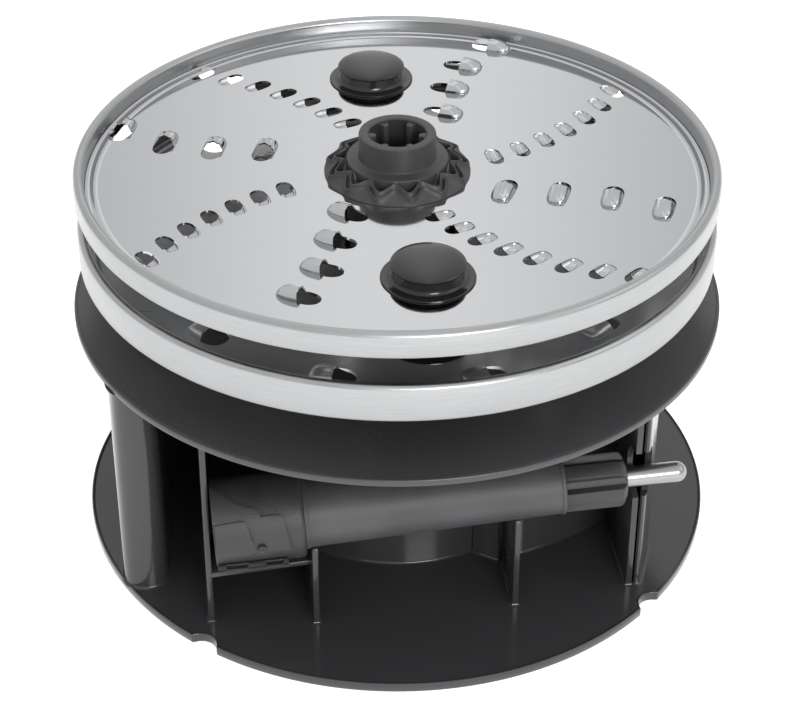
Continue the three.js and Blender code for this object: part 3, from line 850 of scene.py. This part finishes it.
# ---- the stem -------------------------------------------------------------------------------
@dataclass
class DriveStem:
    """Moulded drive stem with a steel pin, lying in the cradle with its pin end a little higher."""

    y: float = -58.5
    z: float = 38.8
    tilt: float = 0.04
    start: float = -58.2
    collar_end: float = -33.4
    collar_radius: float = 12.1
    tube_end: float = 38.8
    tube_big: float = 9.6
    tube_small: float = 8.1
    head_end: float = 56.4
    head_radius: float = 7.7
    lock_turn: float = -38.0  # degrees that the sleeve, its pad and its stop are turned up round the stem
    rail_turn: float = -56.0  # degrees that the rail is turned from the bottom of the collar to its front
    pin_radius: float = 2.9
    pin_end: float = 73.8

    @property
    def place(self) -> Matrix:
        """Moves the stem's own frame, with X along it, into the cradle."""
        return Matrix.Translation((0, self.y, self.z)) @ Matrix.Rotation(-self.tilt, 4, "Y")

    def build(self) -> None:
        """Builds the stem's pieces from the collar to the pin."""
        self._along("stem_collar", Form.turned(self._collar, 144))
        self._sleeve()
        self._pad()
        self._rail()
        self._boss()
        # The tube's lighter finish is painted light on the same resin as the collar and head.
        self._along("stem_tube", Form.turned(self._tube(), 128), TUBE_NYLON)
        self._head()
        self._along("steel_pin", Form.turned(self._pin(), 72), GROUND_STEEL, "pin_steel")

    def _piece(self, name: str, finish: Finish = ERODED_NYLON, slot: str = "stem_plastic") -> Piece:
        """The piece that stands for the stem node of that name."""
        kind = "moulding" if slot == "stem_plastic" else "rod"
        return Piece(f"{name}_{kind}", "stem", slot, finish, (name,))

    def _along(self, name: str, form: Form, finish: Finish = ERODED_NYLON,
               slot: str = "stem_plastic") -> None:
        """Dresses a form built along Z as a piece that lies along the stem."""
        made = bare_object(name, form.placed(self.place @ LAID))
        dressed(made, self._piece(name, finish, slot))

    def _collar(self, turn: float) -> Outline:
        """Section of the collar: round bore, then a six-sided drive seat.

        Args:
            turn: Angle round the stem in radians.

        Returns:
            The closed (radius, height) outline at that angle.
        """
        a, b, r = self.start, self.collar_end, self.collar_radius
        corner = math.radians((math.degrees(turn) % 60) - 30)
        seat = 6.0 * math.cos(math.radians(30)) / math.cos(corner)
        rounded = [(r - 1.3 + 1.3 * math.cos(t), b - 1.3 + 1.3 * math.sin(t))
                   for t in (i * math.pi / 12 for i in range(7))]
        return [(0.0, a + 21), (seat, a + 21), (seat, a + 14.4), (seat + 0.4, a + 14), (9.4, a + 14),
                (9.4, a + 0.5), (9.8, a), (r - 0.5, a), (r - 0.12, a + 0.14), (r, a + 0.5), *rounded,
                (0.0, b + 0.01)]

    def _tube(self) -> Outline:
        """Closed outline of the tapered tube with a thin end ring."""
        a, b, big, small = self.collar_end, self.tube_end, self.tube_big, self.tube_small
        waist = [(big + (small - big) * t, a + 1.6 + (b - 3.2 - a) * t) for t in (i / 8 for i in range(9))]
        return [(0, a - 0.5), (big + 0.5, a - 0.5), (big + 0.45, a + 0.5), (big + 0.15, a + 1.1), *waist,
                (small + 0.02, b - 1.35), (small + 0.24, b - 1.1), (small + 0.28, b - 0.7),
                (small + 0.16, b - 0.25), (small - 0.3, b), (0, b)]

    def _pin(self) -> Outline:
        """Closed outline of the steel pin with its round end."""
        r, end = self.pin_radius, self.pin_end
        nose = [(r * math.cos(t), end - r + r * math.sin(t)) for t in (i * math.pi / 20 for i in range(11))]
        return [(0, self.head_end - 11), (r, self.head_end - 11), *nose]

    def _head(self) -> None:
        """Six-lobed drive head: a round core with six long flat-topped lobes."""
        a, b, r = self.tube_end - 0.3, self.head_end, self.head_radius
        core = [(self.pin_radius + 0.05, a), (r - 1.9, a), (r - 1.9, b - 1.0), (r - 2.4, b - 0.3),
                (r - 3.2, b), (self.pin_radius + 0.35, b), (self.pin_radius + 0.05, b - 0.4)]
        lobe_side = [(a, 3.0), (b - 0.5, 3.0), (b - 0.5, r - 1.7), (b - 1.4, r - 0.3), (b - 2.2, r), (a, r)]
        across = [(z, x) for x, z in lobe_side]
        lobe = Form.plank(across, -2.1, 2.1).placed(UPRIGHT_ACROSS_Y)
        lobes = ring_of(lobe, 6, 30, ERODED_NYLON, 0.45)
        made = joined(bare_object("spline_head", Form.turned(core, 72)), lobes)
        made.data.transform(Matrix.Scale(MM, 4) @ self.place @ LAID @ Matrix.Scale(1 / MM, 4))
        dressed(made, self._piece("spline_head"))

    def _wrapped(self, name: str, top: Outline, length: float, low: float, radius: float,
                 thick: float) -> None:
        """Dresses a thin shell with rounded edges that is laid on the front of the collar.

        Args:
            name: The shell's node.
            top: (x, height) points of its upper edge.
            length: Length of its straight lower edge.
            low: Height of that edge.
            radius: Outer radius of the shell.
            thick: Its thickness.
        """
        steps, count, start = 18, len(top), top[0][0]
        reach = [(x - start) / (top[-1][0] - start) for x, _ in top]
        bottom = [(start + length * t, low) for t in reach]
        form = Form()
        for k in range(steps + 1):
            t = k / steps
            for (x0, z0), (x1, z1) in zip(top, bottom):
                x, z = x0 + (x1 - x0) * t, z0 + (z1 - z0) * t
                form.points.append((x, -math.sqrt(radius**2 - z**2), z))
        for k in range(steps):
            for i in range(count - 1):
                first = k * count + i
                form.faces.append((first, first + count, first + count + 1, first + 1))
        turned = Matrix.Rotation(math.radians(self.lock_turn), 4, "X")
        made = bare_object(name, form.placed(self.place @ turned))
        if sum(f.normal.y * f.area for f in made.data.polygons) > 0:
            made.data.flip_normals()
        dressed(bevelled(thickened(made, thick), 0.14, 2, 40), self._piece(name))

    def _sleeve(self) -> None:
        """Bayonet sleeve whose upper edge steps down towards the tube."""
        a = self.start
        edge = soften([(a + 0.05, 9.9), (a + 1.2, 9.0), (a + 5, 5.9), (a + 8.5, 3.7), (a + 11.6, 3.0),
                       (a + 12.6, 1.9)], 3, closed=False)
        step = soften([(a + 12.9, 0.5), (a + 17.6, 0.5), (a + 18.7, 0.2), (a + 19.1, -1.2)], 3, closed=False)
        self._wrapped("lock_sleeve", edge + step, 20.5, -9.6, self.collar_radius + 1.0, 0.85)

    def _pad(self) -> None:
        """Raised pad on the left part of the sleeve."""
        a = self.start
        top = soften([(a + 0.4, -0.9), (a + 4.4, -0.55), (a + 8.2, -0.3), (a + 8.9, -0.9)], 2, closed=False)
        self._wrapped("lock_pad", top, 10.2, -7.6, self.collar_radius + 1.9, 0.75)

    def _rail(self) -> None:
        """Rail with two windows along the lower front of the collar."""
        a, high, low = self.start, -self.collar_radius - 0.3, -self.collar_radius - 2.5
        rail = Form()
        for z0, z1 in ((low, low + 0.8), (high - 0.5, high)):
            rail.add(Form.box((a + 0.3, -0.8, z0), (a + 19.5, 0.8, z1)))
        for x0, x1 in ((0.3, 2.6), (8.4, 13.4), (18.0, 19.5)):
            rail.add(Form.box((a + x0, -0.8, low + 0.01), (a + x1, 0.8, high - 0.01)))
        turned = Matrix.Rotation(math.radians(self.rail_turn), 4, "X")
        made = bare_object("lock_rail", rail.placed(self.place @ turned))
        dressed(bevelled(made, 0.12, 2), self._piece("lock_rail"))

    def _boss(self) -> None:
        """Small round stop with a dimple."""
        r = self.collar_radius
        profile = [(0, r + 0.6), (1.3, r + 0.6), (1.3, r + 1.75), (1.15, r + 2.0), (0.9, r + 2.08),
                   (0.65, r + 1.95), (0.4, r + 1.7), (0, r + 1.62)]
        turn = Matrix.Translation((self.start + 12.6, 0, 0)) @ Matrix.Rotation(math.radians(90), 4, "X")
        made = bare_object("detent_boss", Form.turned(profile, 32).placed(self.place @ turn))
        dressed(made, self._piece("detent_boss"))


# ---- the discs ------------------------------------------------------------------------------
class Press(Enum):
    """Which way a tooth is pressed out of the sheet."""

    UP = 1
    DOWN = -1


@dataclass(frozen=True)
class Tooth:
    """A scoop pressed out of the sheet, open in front of its cutting lip."""

    width: float
    run: float
    slot: float
    rise: float
    press: Press
    squareness: float = 3.4
    lean: float = 0.6
    ripple: float = 0.07
    fan: int = 24
    rings: int = 10

    def _reach(self, turn: float) -> Point:
        """Point of the scoop's plan outline, with the lip on the Y axis and the rear at +X.

        Args:
            turn: Angle in radians, from the lip's one end to the other.

        Returns:
            The point.
        """
        power = 2 / self.squareness
        c, s = math.cos(turn), math.sin(turn)
        return (self.run * abs(c) ** power, self.width / 2 * math.copysign(abs(s) ** power, s))

    def hood(self) -> Form:
        """Half barrel with three faint ribs along it, high and steep-sided at its open lip.

        Returns:
            The scoop as an open sheet over its plan outline.
        """
        form = Form()
        spacing, fullness, steepness = 0.9, 2.3, 0.62
        for k in range(self.rings + 1):
            share = math.sin(math.pi / 2 * k / self.rings) ** spacing
            crown = self.rise * (1 - share**fullness) ** steepness
            for i in range(self.fan + 1):
                x, y = self._reach(math.pi * (i / self.fan - 0.5))
                across = 2 * y * share / self.width
                height = crown * (1 - self.ripple + self.ripple * math.cos(3 * math.pi * across))
                form.points.append((x * share + self.lean * height / self.rise, y * share, height))
        for k in range(self.rings):
            for i in range(self.fan):
                low = k * (self.fan + 1) + i
                form.faces.append((low, low + self.fan + 1, low + self.fan + 2, low + 1))
        return form

    def opening(self) -> Outline:
        """Plan outline of the hole: the scoop's own outline and the round slot in front of it.

        Returns:
            The closed outline.
        """
        rear = [self._reach(math.pi * (i / self.fan - 0.5)) for i in range(self.fan + 1)]
        steps = 12
        turns = [math.pi * i / steps for i in range(1, steps)]
        front = [(-self.slot * math.sin(t) ** 0.7, self.width / 2 * math.cos(t)) for t in turns]
        return rear + front


@dataclass(frozen=True)
class Row:
    """Teeth on a line out from the hub; each step may turn, and the line may curl away at its ends.

    Angles are in degrees: angle is the first tooth's, turn is added for each tooth, and curl at each end.
    """

    angle: float
    start: float
    pitch: float
    count: int
    turn: float = 0.0
    curl: float = 0.0


@dataclass
class PressedDisc:
    """Steel disc with rows of teeth, a rolled rim, a moulded hub and two finger grips."""

    name: str
    rows: dict[Tooth, list[Row]]
    rim_height: float
    recess: float
    radius: float = 90.0
    sheet: float = 0.9
    flat_radius: float = 83.4
    hub_hole: float = 16.3
    grip_hole: float = 7.4
    grip_spread: float = 56.3
    grip_angle: float = 90.8
    keep_clear: float = 19.5  # no tooth's middle comes this near a grip's
    bow_middle: float = 60.0  # radius at which a curled row is straight
    bow_half: float = 27.0  # distance from there at which it has curled once
    finish: Finish = ROLLED_STEEL

    @property
    def rim_top(self) -> float:
        """Height of the rim's top in the frame."""
        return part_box(f"{self.name}_rim")[1].z / MM + 0.1

    @property
    def surface(self) -> float:
        """Height of the sheet's upper face."""
        return self.rim_top - self.recess

    def build(self) -> None:
        """Builds the sheet, rim, hub and grips."""
        self._sheet()
        self._rim()
        DiscHub(self.name, self.surface, self.sheet).build()
        for side, turn in (("back", 0.0), ("front", 180.0)):
            FingerGrip(f"{self.name}_grip_{side}", self.name, self.surface, self.sheet).build(
                polar(self.grip_spread, self.grip_angle + turn))

    def _sheet(self) -> None:
        """Perforated sheet with its pressed teeth and the step along its edge."""
        recipe = self._recipe()
        inputs: dict[str, object] = {
            "Flat Radius": self.flat_radius * MM, "Hub Hole": self.hub_hole * MM,
            "Grip Hole": self.grip_hole * MM, "Grip Spread": self.grip_spread * MM,
            "Grip Angle": math.radians(self.grip_angle), "Keep Clear": self.keep_clear * MM,
            "Material": self.finish.material()}
        helpers = []
        for k, tooth in enumerate(self.rows):
            hood = bare_object(f"hood_{k}", tooth.hood())
            outline = tooth.opening()
            ring = bpy.data.meshes.new(f"opening_{k}")
            ring.from_pydata([(x * MM, y * MM, 0) for x, y in outline],
                             [(i, (i + 1) % len(outline)) for i in range(len(outline))], [])
            opening = bpy.data.objects.new(f"opening_{k}", ring)
            bpy.context.scene.collection.objects.link(opening)
            inputs[f"Hood {k}"], inputs[f"Opening {k}"] = hood, opening
            helpers += [hood, opening]
        made = recipe.run(f"{self.name}_sheet", inputs)
        for helper in helpers:
            bpy.data.objects.remove(helper)
        step = bare_object("step", Form.stacked(
            [[(r * math.cos(math.tau * i / 180), r * math.sin(math.tau * i / 180), z) for i in range(180)]
             for r, z in self._step()], capped=False))
        made = joined(made, step)
        tidy_mesh(made.data, upward=True)
        made.data.transform(Matrix.Translation((0, 0, self.surface * MM)))
        thickened(made, self.sheet, even=False)
        piece = Piece(f"{self.name}_sheet_steel", self.name, "disc_steel", self.finish,
                      (f"{self.name}_sheet",))
        dressed(made, piece, smooth=30)

    def _step(self) -> Outline:
        """Low bead that stiffens the sheet's edge, as a (radius, height) line."""
        r = self.flat_radius
        return [(r, 0), (r + 0.35, 0.03), (r + 0.75, 0.16), (r + 1.15, 0.28), (r + 1.55, 0.16),
                (r + 1.95, 0.03), (r + 2.4, 0.0), (r + 3.0, 0.12), (r + 3.4, 0.45)]

    def _recipe(self) -> NodeRecipe:
        """Tree that perforates the flat sheet and sets a hood over each opening.

        Returns:
            The recipe, with the sizes and the helper shapes as its inputs.
        """
        recipe = NodeRecipe(f"{self.name}_pressing")
        flat, hub, grip, spread, angle, clear = (recipe.named(name, "Float") for name in (
            "Flat Radius", "Hub Hole", "Grip Hole", "Grip Spread", "Grip Angle", "Keep Clear"))
        paint = recipe.named("Material", "Material")
        opposite = recipe.node("ShaderNodeMath", {0: angle, 1: math.pi}, operation="ADD")
        grips = [self._polar_place(recipe, spread, turned) for turned in (angle, opposite)]
        edge, bore, hole = (
            recipe.node("GeometryNodeCurvePrimitiveCircle", {"Resolution": steps, "Radius": radius})
            for radius, steps in ((flat, 180), (hub, 96), (grip, 64)))
        curves = [edge, bore, *[recipe.node("GeometryNodeTransform", {"Geometry": hole, "Translation": place})
                                for place in grips]]
        hoods: list[bpy.types.Node] = []
        for k, (tooth, rows) in enumerate(self.rows.items()):
            points = self._points(recipe, rows, grips, clear)
            up = tooth.press is Press.UP
            facing = recipe.node("GeometryNodeInputNamedAttribute", {"Name": "facing"}, data_type="FLOAT")
            turn = recipe.node("ShaderNodeMath", {0: facing, 1: -math.pi / 2 if up else math.pi / 2},
                               operation="ADD")
            spin = recipe.node("ShaderNodeCombineXYZ", {0: 0.0 if up else math.pi, 2: turn})
            for label in ("Hood", "Opening"):
                source = recipe.node("GeometryNodeObjectInfo",
                                     {"Object": recipe.named(f"{label} {k}", "Object")})
                copies = recipe.node("GeometryNodeInstanceOnPoints",
                                     {"Points": points, "Instance": source.outputs["Geometry"],
                                      "Rotation": spin})
                real = recipe.node("GeometryNodeRealizeInstances", {0: copies})
                if label == "Hood":
                    hoods.append(real)
                else:
                    curves.append(recipe.node("GeometryNodeMeshToCurve", {0: real}))
        outlines = recipe.node("GeometryNodeJoinGeometry", {0: curves})
        plate = recipe.node("GeometryNodeFillCurve", {0: outlines})
        whole = recipe.node("GeometryNodeJoinGeometry", {0: [plate, *hoods]})
        merged = recipe.node("GeometryNodeMergeByDistance", {"Geometry": whole, "Distance": 0.00002})
        recipe.finish(merged, paint)
        return recipe

    def _polar_place(self, recipe: NodeRecipe, radius: object, angle: object) -> bpy.types.Node:
        """Position at a radius and an angle.

        Args:
            recipe: The tree that it is added to.
            radius: Socket or node of the radius in metres.
            angle: Socket or node of the angle in radians.

        Returns:
            The node with the position.
        """
        sides = [recipe.node("ShaderNodeMath", {0: angle}, operation=name) for name in ("COSINE", "SINE")]
        x, y = (recipe.node("ShaderNodeMath", {0: radius, 1: side}, operation="MULTIPLY") for side in sides)
        return recipe.node("ShaderNodeCombineXYZ", {0: x, 1: y})

    def _points(self, recipe: NodeRecipe, rows: list[Row], grips: list[bpy.types.Node],
                clear: bpy.types.NodeSocket) -> bpy.types.Node:
        """Points of the teeth of some rows, less those that would meet a grip.

        Args:
            recipe: The tree that they are added to.
            rows: The rows.
            grips: Nodes with the middles of the grips.
            clear: Socket with the distance that stays free round each of them.

        Returns:
            The node with the points.
        """
        points = recipe.node("GeometryNodeJoinGeometry", {0: [self._row(recipe, row) for row in rows]})
        for place in grips:
            apart = recipe.node("ShaderNodeVectorMath",
                                {0: recipe.node("GeometryNodeInputPosition"), 1: place}, operation="DISTANCE")
            near = recipe.node("ShaderNodeMath", {0: apart.outputs["Value"], 1: clear}, operation="LESS_THAN")
            points = recipe.node("GeometryNodeDeleteGeometry", {"Geometry": points, "Selection": near},
                                 domain="POINT")
        return points

    def _row(self, recipe: NodeRecipe, row: Row) -> bpy.types.Node:
        """Points of one row of teeth, each with the angle that it faces.

        Args:
            recipe: The tree that they are added to.
            row: The row.

        Returns:
            The node with the points.
        """
        index = recipe.node("GeometryNodeInputIndex")
        reach = recipe.node("ShaderNodeMath", {0: index, 1: row.pitch, 2: row.start},
                            operation="MULTIPLY_ADD")
        bow = reach
        for operation, term in (("SUBTRACT", self.bow_middle), ("DIVIDE", self.bow_half), ("POWER", 2.0)):
            bow = recipe.node("ShaderNodeMath", {0: bow, 1: term}, operation=operation)
        degrees: object = row.angle
        for factor, share in ((index, row.turn), (bow, row.curl)):
            degrees = recipe.node("ShaderNodeMath", {0: factor, 1: share, 2: degrees},
                                  operation="MULTIPLY_ADD")
        angle = recipe.node("ShaderNodeMath", {0: degrees}, operation="RADIANS")
        metres = recipe.node("ShaderNodeMath", {0: reach, 1: MM}, operation="MULTIPLY")
        line = recipe.node("GeometryNodeMeshLine", {"Count": row.count, "Offset": (0, 0, 0.001)})
        stored = recipe.node("GeometryNodeStoreNamedAttribute",
                             {"Geometry": line, "Name": "facing", "Value": angle}, data_type="FLOAT",
                             domain="POINT")
        return recipe.node("GeometryNodeSetPosition",
                           {"Geometry": stored, "Position": self._polar_place(recipe, metres, angle)})

    def _rim(self) -> None:
        """Rolled rim: round on top, brushed on its side."""
        top, foot, r, w = self.rim_top - 0.1, self.rim_top - self.rim_height, self.radius, 3.0
        half = w / 2
        bead = [(r - half + half * math.cos(t), top - half + half * math.sin(t))
                for t in (i * math.pi / 14 for i in range(15))]
        profile = [(r - w, foot), (r - 0.9, foot), (r - 0.3, foot + 0.25), (r, foot + 0.85), *bead]
        piece = Piece(f"{self.name}_rim_steel", self.name, "rim_steel", BRUSHED_STEEL, (f"{self.name}_rim",))
        dressed(bare_object(piece.name, Form.turned(profile, 256)), piece)


@dataclass
class DiscHub:
    """Moulding through a disc: ribbed collar, lobed crown on each face and a socketed skirt below."""

    disc: str
    surface: float
    sheet: float
    bore: float = 8.0
    collar: float = 10.8
    collar_top: float = 12.0
    shoulder: float = 14.3
    shoulder_top: float = 4.5
    contact: float = 20.5
    lobes: int = 13
    skirt: float = 13.4
    socket: float = 11.2
    crown_phase: float = -3.0
    rib_phase: float = -7.4
    sharpness: float = 0.8  # of the crown's zigzag: 0 is a wave, 1 has sharp corners

    def build(self) -> None:
        """Builds the hub and the ribs in its bore."""
        body = bare_object(f"{self.disc}_hub", Form.turned(self._profile, self.lobes * 20).placed(
            Matrix.Rotation(math.radians(self.crown_phase), 4, "Z")))
        low, high = self.surface - self.sheet - self.skirt + 9, self.surface + self.collar_top - 0.7
        root = self.bore + 0.5
        rib = Form.plank([(5.9, -0.75), (root, -1.7), (root, 1.7), (5.9, 0.75)], low, high)
        made = joined(body, ring_of(rib, 6, self.rib_phase, HUB_NYLON, 0.4))
        piece = Piece(f"{self.disc}_hub_moulding", self.disc, "hub_plastic", HUB_NYLON, (f"{self.disc}_hub",))
        dressed(made, piece, smooth=38)

    def _wave(self, turn: float) -> float:
        """Zigzag with rounded corners: 1 at a lobe's tip and 0 between two lobes."""
        swing = math.asin(self.sharpness * math.cos(self.lobes * turn)) / math.asin(self.sharpness)
        return 0.5 + 0.5 * swing

    def _crown(self, turn: float) -> Outline:
        """Line of the crown from the collar's foot out to the sheet.

        Args:
            turn: Angle round the hub in radians.

        Returns:
            The (radius, height above the sheet) points at that angle.
        """
        tip = self._wave(turn)
        # The crown's outer ridge, and the bead round the pocket inside it: a lobe's tip is further out
        # and lower than the dip between two lobes.
        ridge, ridge_z = 17.1 + 3.0 * tip, 3.1 - 1.3 * tip
        pocket, pocket_z = 14.85 + 2.8 * tip, 3.9 - 1.4 * tip
        depth = 2.0 * min(1.0, tip * 2.2)
        s, top = self.shoulder, self.shoulder_top
        inner = [(self.collar, top + 0.9), (self.collar + 0.2, top + 0.35), (self.collar + 0.7, top + 0.06),
                 (s - 0.5, top), (s - 0.14, top - 0.1), (s, top - 0.4)]
        pit = [(s + 0.04, min(top - 0.45, pocket_z - depth + 0.3)), (s + 0.3, pocket_z - depth),
               (max(s + 0.35, pocket - 0.6), pocket_z - depth), (max(s + 0.4, pocket - 0.2), pocket_z - 0.05)]
        bead = [(pocket - 0.06, pocket_z + 0.28), (pocket + 0.22, pocket_z + 0.42),
                (pocket + 0.52, pocket_z + 0.32), (pocket + 0.72, pocket_z - 0.05)]
        middle = [(pocket + 0.95, pocket_z - 0.5), (max(pocket + 1.0, ridge - 0.85), ridge_z - 0.4)]
        edge = [(ridge - 0.55, ridge_z + 0.08), (ridge - 0.26, ridge_z + 0.38),
                (ridge + 0.06, ridge_z + 0.32), (ridge + 0.2, ridge_z - 0.1)]
        foot, fall = ridge + 0.2, self.contact - ridge - 0.2
        skirt = [(foot + fall * t, (ridge_z - 0.3) * (1 - t) ** 1.2 + 0.3 * t) for t in (0.15, 0.5, 0.85)]
        return [*inner, *pit, *bead, *middle, *edge, *skirt, (self.contact, 0.3), (self.contact, 0.04)]

    def _profile(self, turn: float) -> Outline:
        """Section of the whole hub.

        Args:
            turn: Angle round the hub in radians.

        Returns:
            The closed (radius, height) outline at that angle.
        """
        up, down = self.surface, self.surface - self.sheet
        b, c, top = self.bore, self.collar, self.surface + self.collar_top
        collar = [(b, top - 0.35), (b + 0.35, top), (c - 0.5, top), (c - 0.12, top - 0.12), (c, top - 0.5)]
        crown = self._crown(turn)
        above = [(r, up + z) for r, z in crown]
        waist = [(15.9, up + 0.04), (15.9, down - 0.04)]
        under = [(r, down - z) for r, z in reversed(crown[5:])]
        end = down - self.skirt
        skirt = [(self.shoulder, down - self.shoulder_top), (self.shoulder, end + 0.5),
                 (self.shoulder - 0.5, end), (self.socket + 0.5, end), (self.socket, end + 0.5),
                 (self.socket, end + 7.9), (b + 0.3, end + 7.9), (b, end + 8.3)]
        return [*collar, *above, *waist, *under, *skirt]


@dataclass
class FingerGrip:
    """Two-sided grip: flange, waist and domed cap on both faces of the disc."""

    node: str
    body: str
    surface: float
    sheet: float
    flange: float = 12.5
    waist: float = 9.2
    cap: float = 9.95
    height: float = 5.7

    def _half(self) -> Outline:
        """Section of one side of the grip.

        Returns:
            (radius, height) line from the flange's foot up to the middle of the cap.
        """
        f, w, c, h = self.flange, self.waist, self.cap, self.height
        bulge = 1.35
        turns = [math.radians(a) for a in range(12, 84, 9)]
        dome = [(c * math.cos(t), h - bulge + bulge * math.sin(t)) for t in turns]
        return [(7.1, 0.02), (f - 0.25, 0.02), (f - 0.08, 0.08), (f, 0.22), (f - 0.08, 0.36), (f - 0.3, 0.42),
                (f - 0.7, 0.38), (w + 0.9, 0.34), (w + 0.5, 0.5), (w + 0.2, 0.9), (w, 1.6), (w - 0.5, 3.3),
                (w - 0.3, 3.55), (c - 0.7, 3.7), (c - 0.25, 3.8), (c - 0.04, 4.05), (c, h - bulge), *dome,
                (0.0, h)]

    def build(self, place: Point) -> None:
        """Builds the grip.

        Args:
            place: Its middle in plan.
        """
        half = self._half()
        up = [(r, self.surface + z) for r, z in half]
        down = [(r, self.surface - self.sheet - z) for r, z in reversed(half)]
        form = Form.turned([*up, *down], 96).placed(Matrix.Translation((*place, 0)))
        piece = Piece(f"{self.node}_moulding", self.body, "grip_plastic", GRIP_ABS, (self.node,))
        dressed(bare_object(piece.name, form), piece)


COARSE = Tooth(6.1, 6.6, 5.4, 2.9, Press.UP)
FINE = Tooth(4.8, 4.8, 3.8, 1.7, Press.DOWN)
SHRED = Tooth(8.0, 7.0, 5.4, 2.6, Press.UP)


def upper_disc() -> PressedDisc:
    """Grating disc with coarse teeth on one face and fine ones on the other.

    Returns:
        The disc, ready to be built.
    """
    coarse = [Row(161.1, 39.2, 14.4, 4, curl=-5.5), Row(66.3, 36.5, 15.3, 4, curl=-5.5),
              Row(-20.7, 31.6, 14.6, 4, curl=-5.5), Row(-117.1, 27.4, 14.1, 4, curl=-5.5)]
    fine = [Row(109.6, 30.8, 8.7, 7, 3.05), Row(191.7, 32.7, 8.0, 7, 2.75), Row(7.4, 28.5, 8.6, 7, 3.6),
            Row(-73.6, 27.5, 7.9, 8, 3.5)]
    return PressedDisc("upper_disc", {COARSE: coarse, FINE: fine}, rim_height=7.5, recess=5.3)


def lower_disc() -> PressedDisc:
    """Shredding disc: twelve rows of wide teeth, staggered so that the cuts overlap."""
    rows = [Row(-49.4 + 30 * k, 36 + 1.6 * (k % 3), 18.6, 3) for k in range(12)]
    return PressedDisc("lower_disc", {SHRED: rows}, rim_height=10.9, recess=8.7, finish=PICKLED_STEEL)


# ---- the studio -----------------------------------------------------------------------------
@dataclass
class Studio:
    """Pale floor, soft light and the camera."""

    eye: Space = (-0.0659, -0.5078, 0.4014)
    toward: Space = (0.1081, 0.8325, -0.5435)
    lens: float = 94.5
    roll: float = 0.0031
    shift: Point = (0.0036, -0.082)
    strip_across: Space = (0.9917, -0.1288, 0.0)  # level direction across the bright strip
    strip_edge: float = 0.17  # how far from the strip's middle its light has faded
    strip_core: float = 0.01
    light_in_strip: float = 1.47
    light_beside: float = 1.04

    def build(self) -> None:
        """Sets up the camera, lights, world and floor."""
        self._camera()
        self._world()
        self._floor()
        self._panel("key_panel", (0.25, -1.25, 0.62), (0.5, 0.3), 7.0)
        self._panel("side_panel", (1.0, -0.3, 0.9), (0.7, 0.7), 1.2)
        bpy.context.scene.view_settings.view_transform = "Standard"

    def _camera(self) -> None:
        """Camera that looks down on the open front, without depth of field."""
        data = bpy.data.cameras.new("camera")
        data.lens, data.sensor_width = self.lens, 36.0
        data.shift_x, data.shift_y = self.shift
        data.clip_start, data.clip_end = 0.01, 50.0
        ahead = Vector(self.toward).normalized()
        right = ahead.cross(Vector((0, 0, 1))).normalized()
        up = right.cross(ahead)
        turn = Matrix((right, up, -ahead)).transposed() @ Matrix.Rotation(self.roll, 3, "Z")
        camera = bpy.data.objects.new("camera", data)
        camera.matrix_world = Matrix.Translation(self.eye) @ turn.to_4x4()
        bpy.context.scene.collection.objects.link(camera)
        bpy.context.scene.camera = camera

    def _world(self) -> None:
        """White surroundings, darker near the ground, with a brighter soft strip from front to back."""
        world = bpy.data.worlds.new("studio")
        world.use_nodes = True
        tree = world.node_tree
        tree.nodes.clear()
        place = add_node(tree, "ShaderNodeTexCoord").outputs["Generated"]
        height = add_node(tree, "ShaderNodeSeparateXYZ", {0: place}).outputs[2]
        share = add_node(tree, "ShaderNodeMapRange", {"Value": height, "From Min": 0.0, "From Max": 1.0})
        shade = add_node(tree, "ShaderNodeMix", {0: share, 6: linear("e4e4e4"), 7: linear("f4f4f4")},
                         data_type="RGBA")
        aside = add_node(tree, "ShaderNodeVectorMath", {0: place, 1: self.strip_across},
                         operation="DOT_PRODUCT").outputs["Value"]
        reach = add_node(tree, "ShaderNodeMath", {0: aside}, operation="ABSOLUTE")
        strip = add_node(tree, "ShaderNodeMapRange",
                         {"Value": reach, "From Min": self.strip_edge, "From Max": self.strip_core,
                          "To Min": self.light_beside, "To Max": self.light_in_strip},
                         interpolation_type="SMOOTHSTEP")
        sky = add_node(tree, "ShaderNodeBackground", {"Color": shade.outputs[2], "Strength": strip})
        add_node(tree, "ShaderNodeOutputWorld", {"Surface": sky})
        bpy.context.scene.world = world

    def _floor(self) -> None:
        """Large pale floor just under the object."""
        half, low = 4000, -0.05
        corners = [(x, y, low) for x, y in ((-half, -half), (half, -half), (half, half), (-half, half))]
        made = bare_object("floor", Form(corners, [(0, 1, 2, 3)]))
        made.data.materials.append(PALE_FLOOR.material())

    def _panel(self, name: str, place: Space, size: Point, power: float) -> None:
        """Light panel that faces the middle of the object.

        Args:
            name: Name of the light.
            place: Its place in metres.
            size: Its width and height in metres.
            power: Its power in watts.
        """
        data = bpy.data.lights.new(name, "AREA")
        data.shape = "RECTANGLE"
        data.size, data.size_y = size
        data.energy = power
        lamp = bpy.data.objects.new(name, data)
        aim = Vector((0, 0, 0.06)) - Vector(place)
        lamp.matrix_world = Matrix.Translation(place) @ aim.to_track_quat("-Z", "Y").to_matrix().to_4x4()
        bpy.context.scene.collection.objects.link(lamp)


def main() -> None:
    """Builds the studio and the object, sub-assembly by sub-assembly."""
    logging.basicConfig(level=logging.INFO, format="%(name)s %(message)s")
    Studio().build()
    StorageCase().build()
    DriveStem().build()
    lower_disc().build()
    upper_disc().build()


if __name__ == "__main__":
    main()
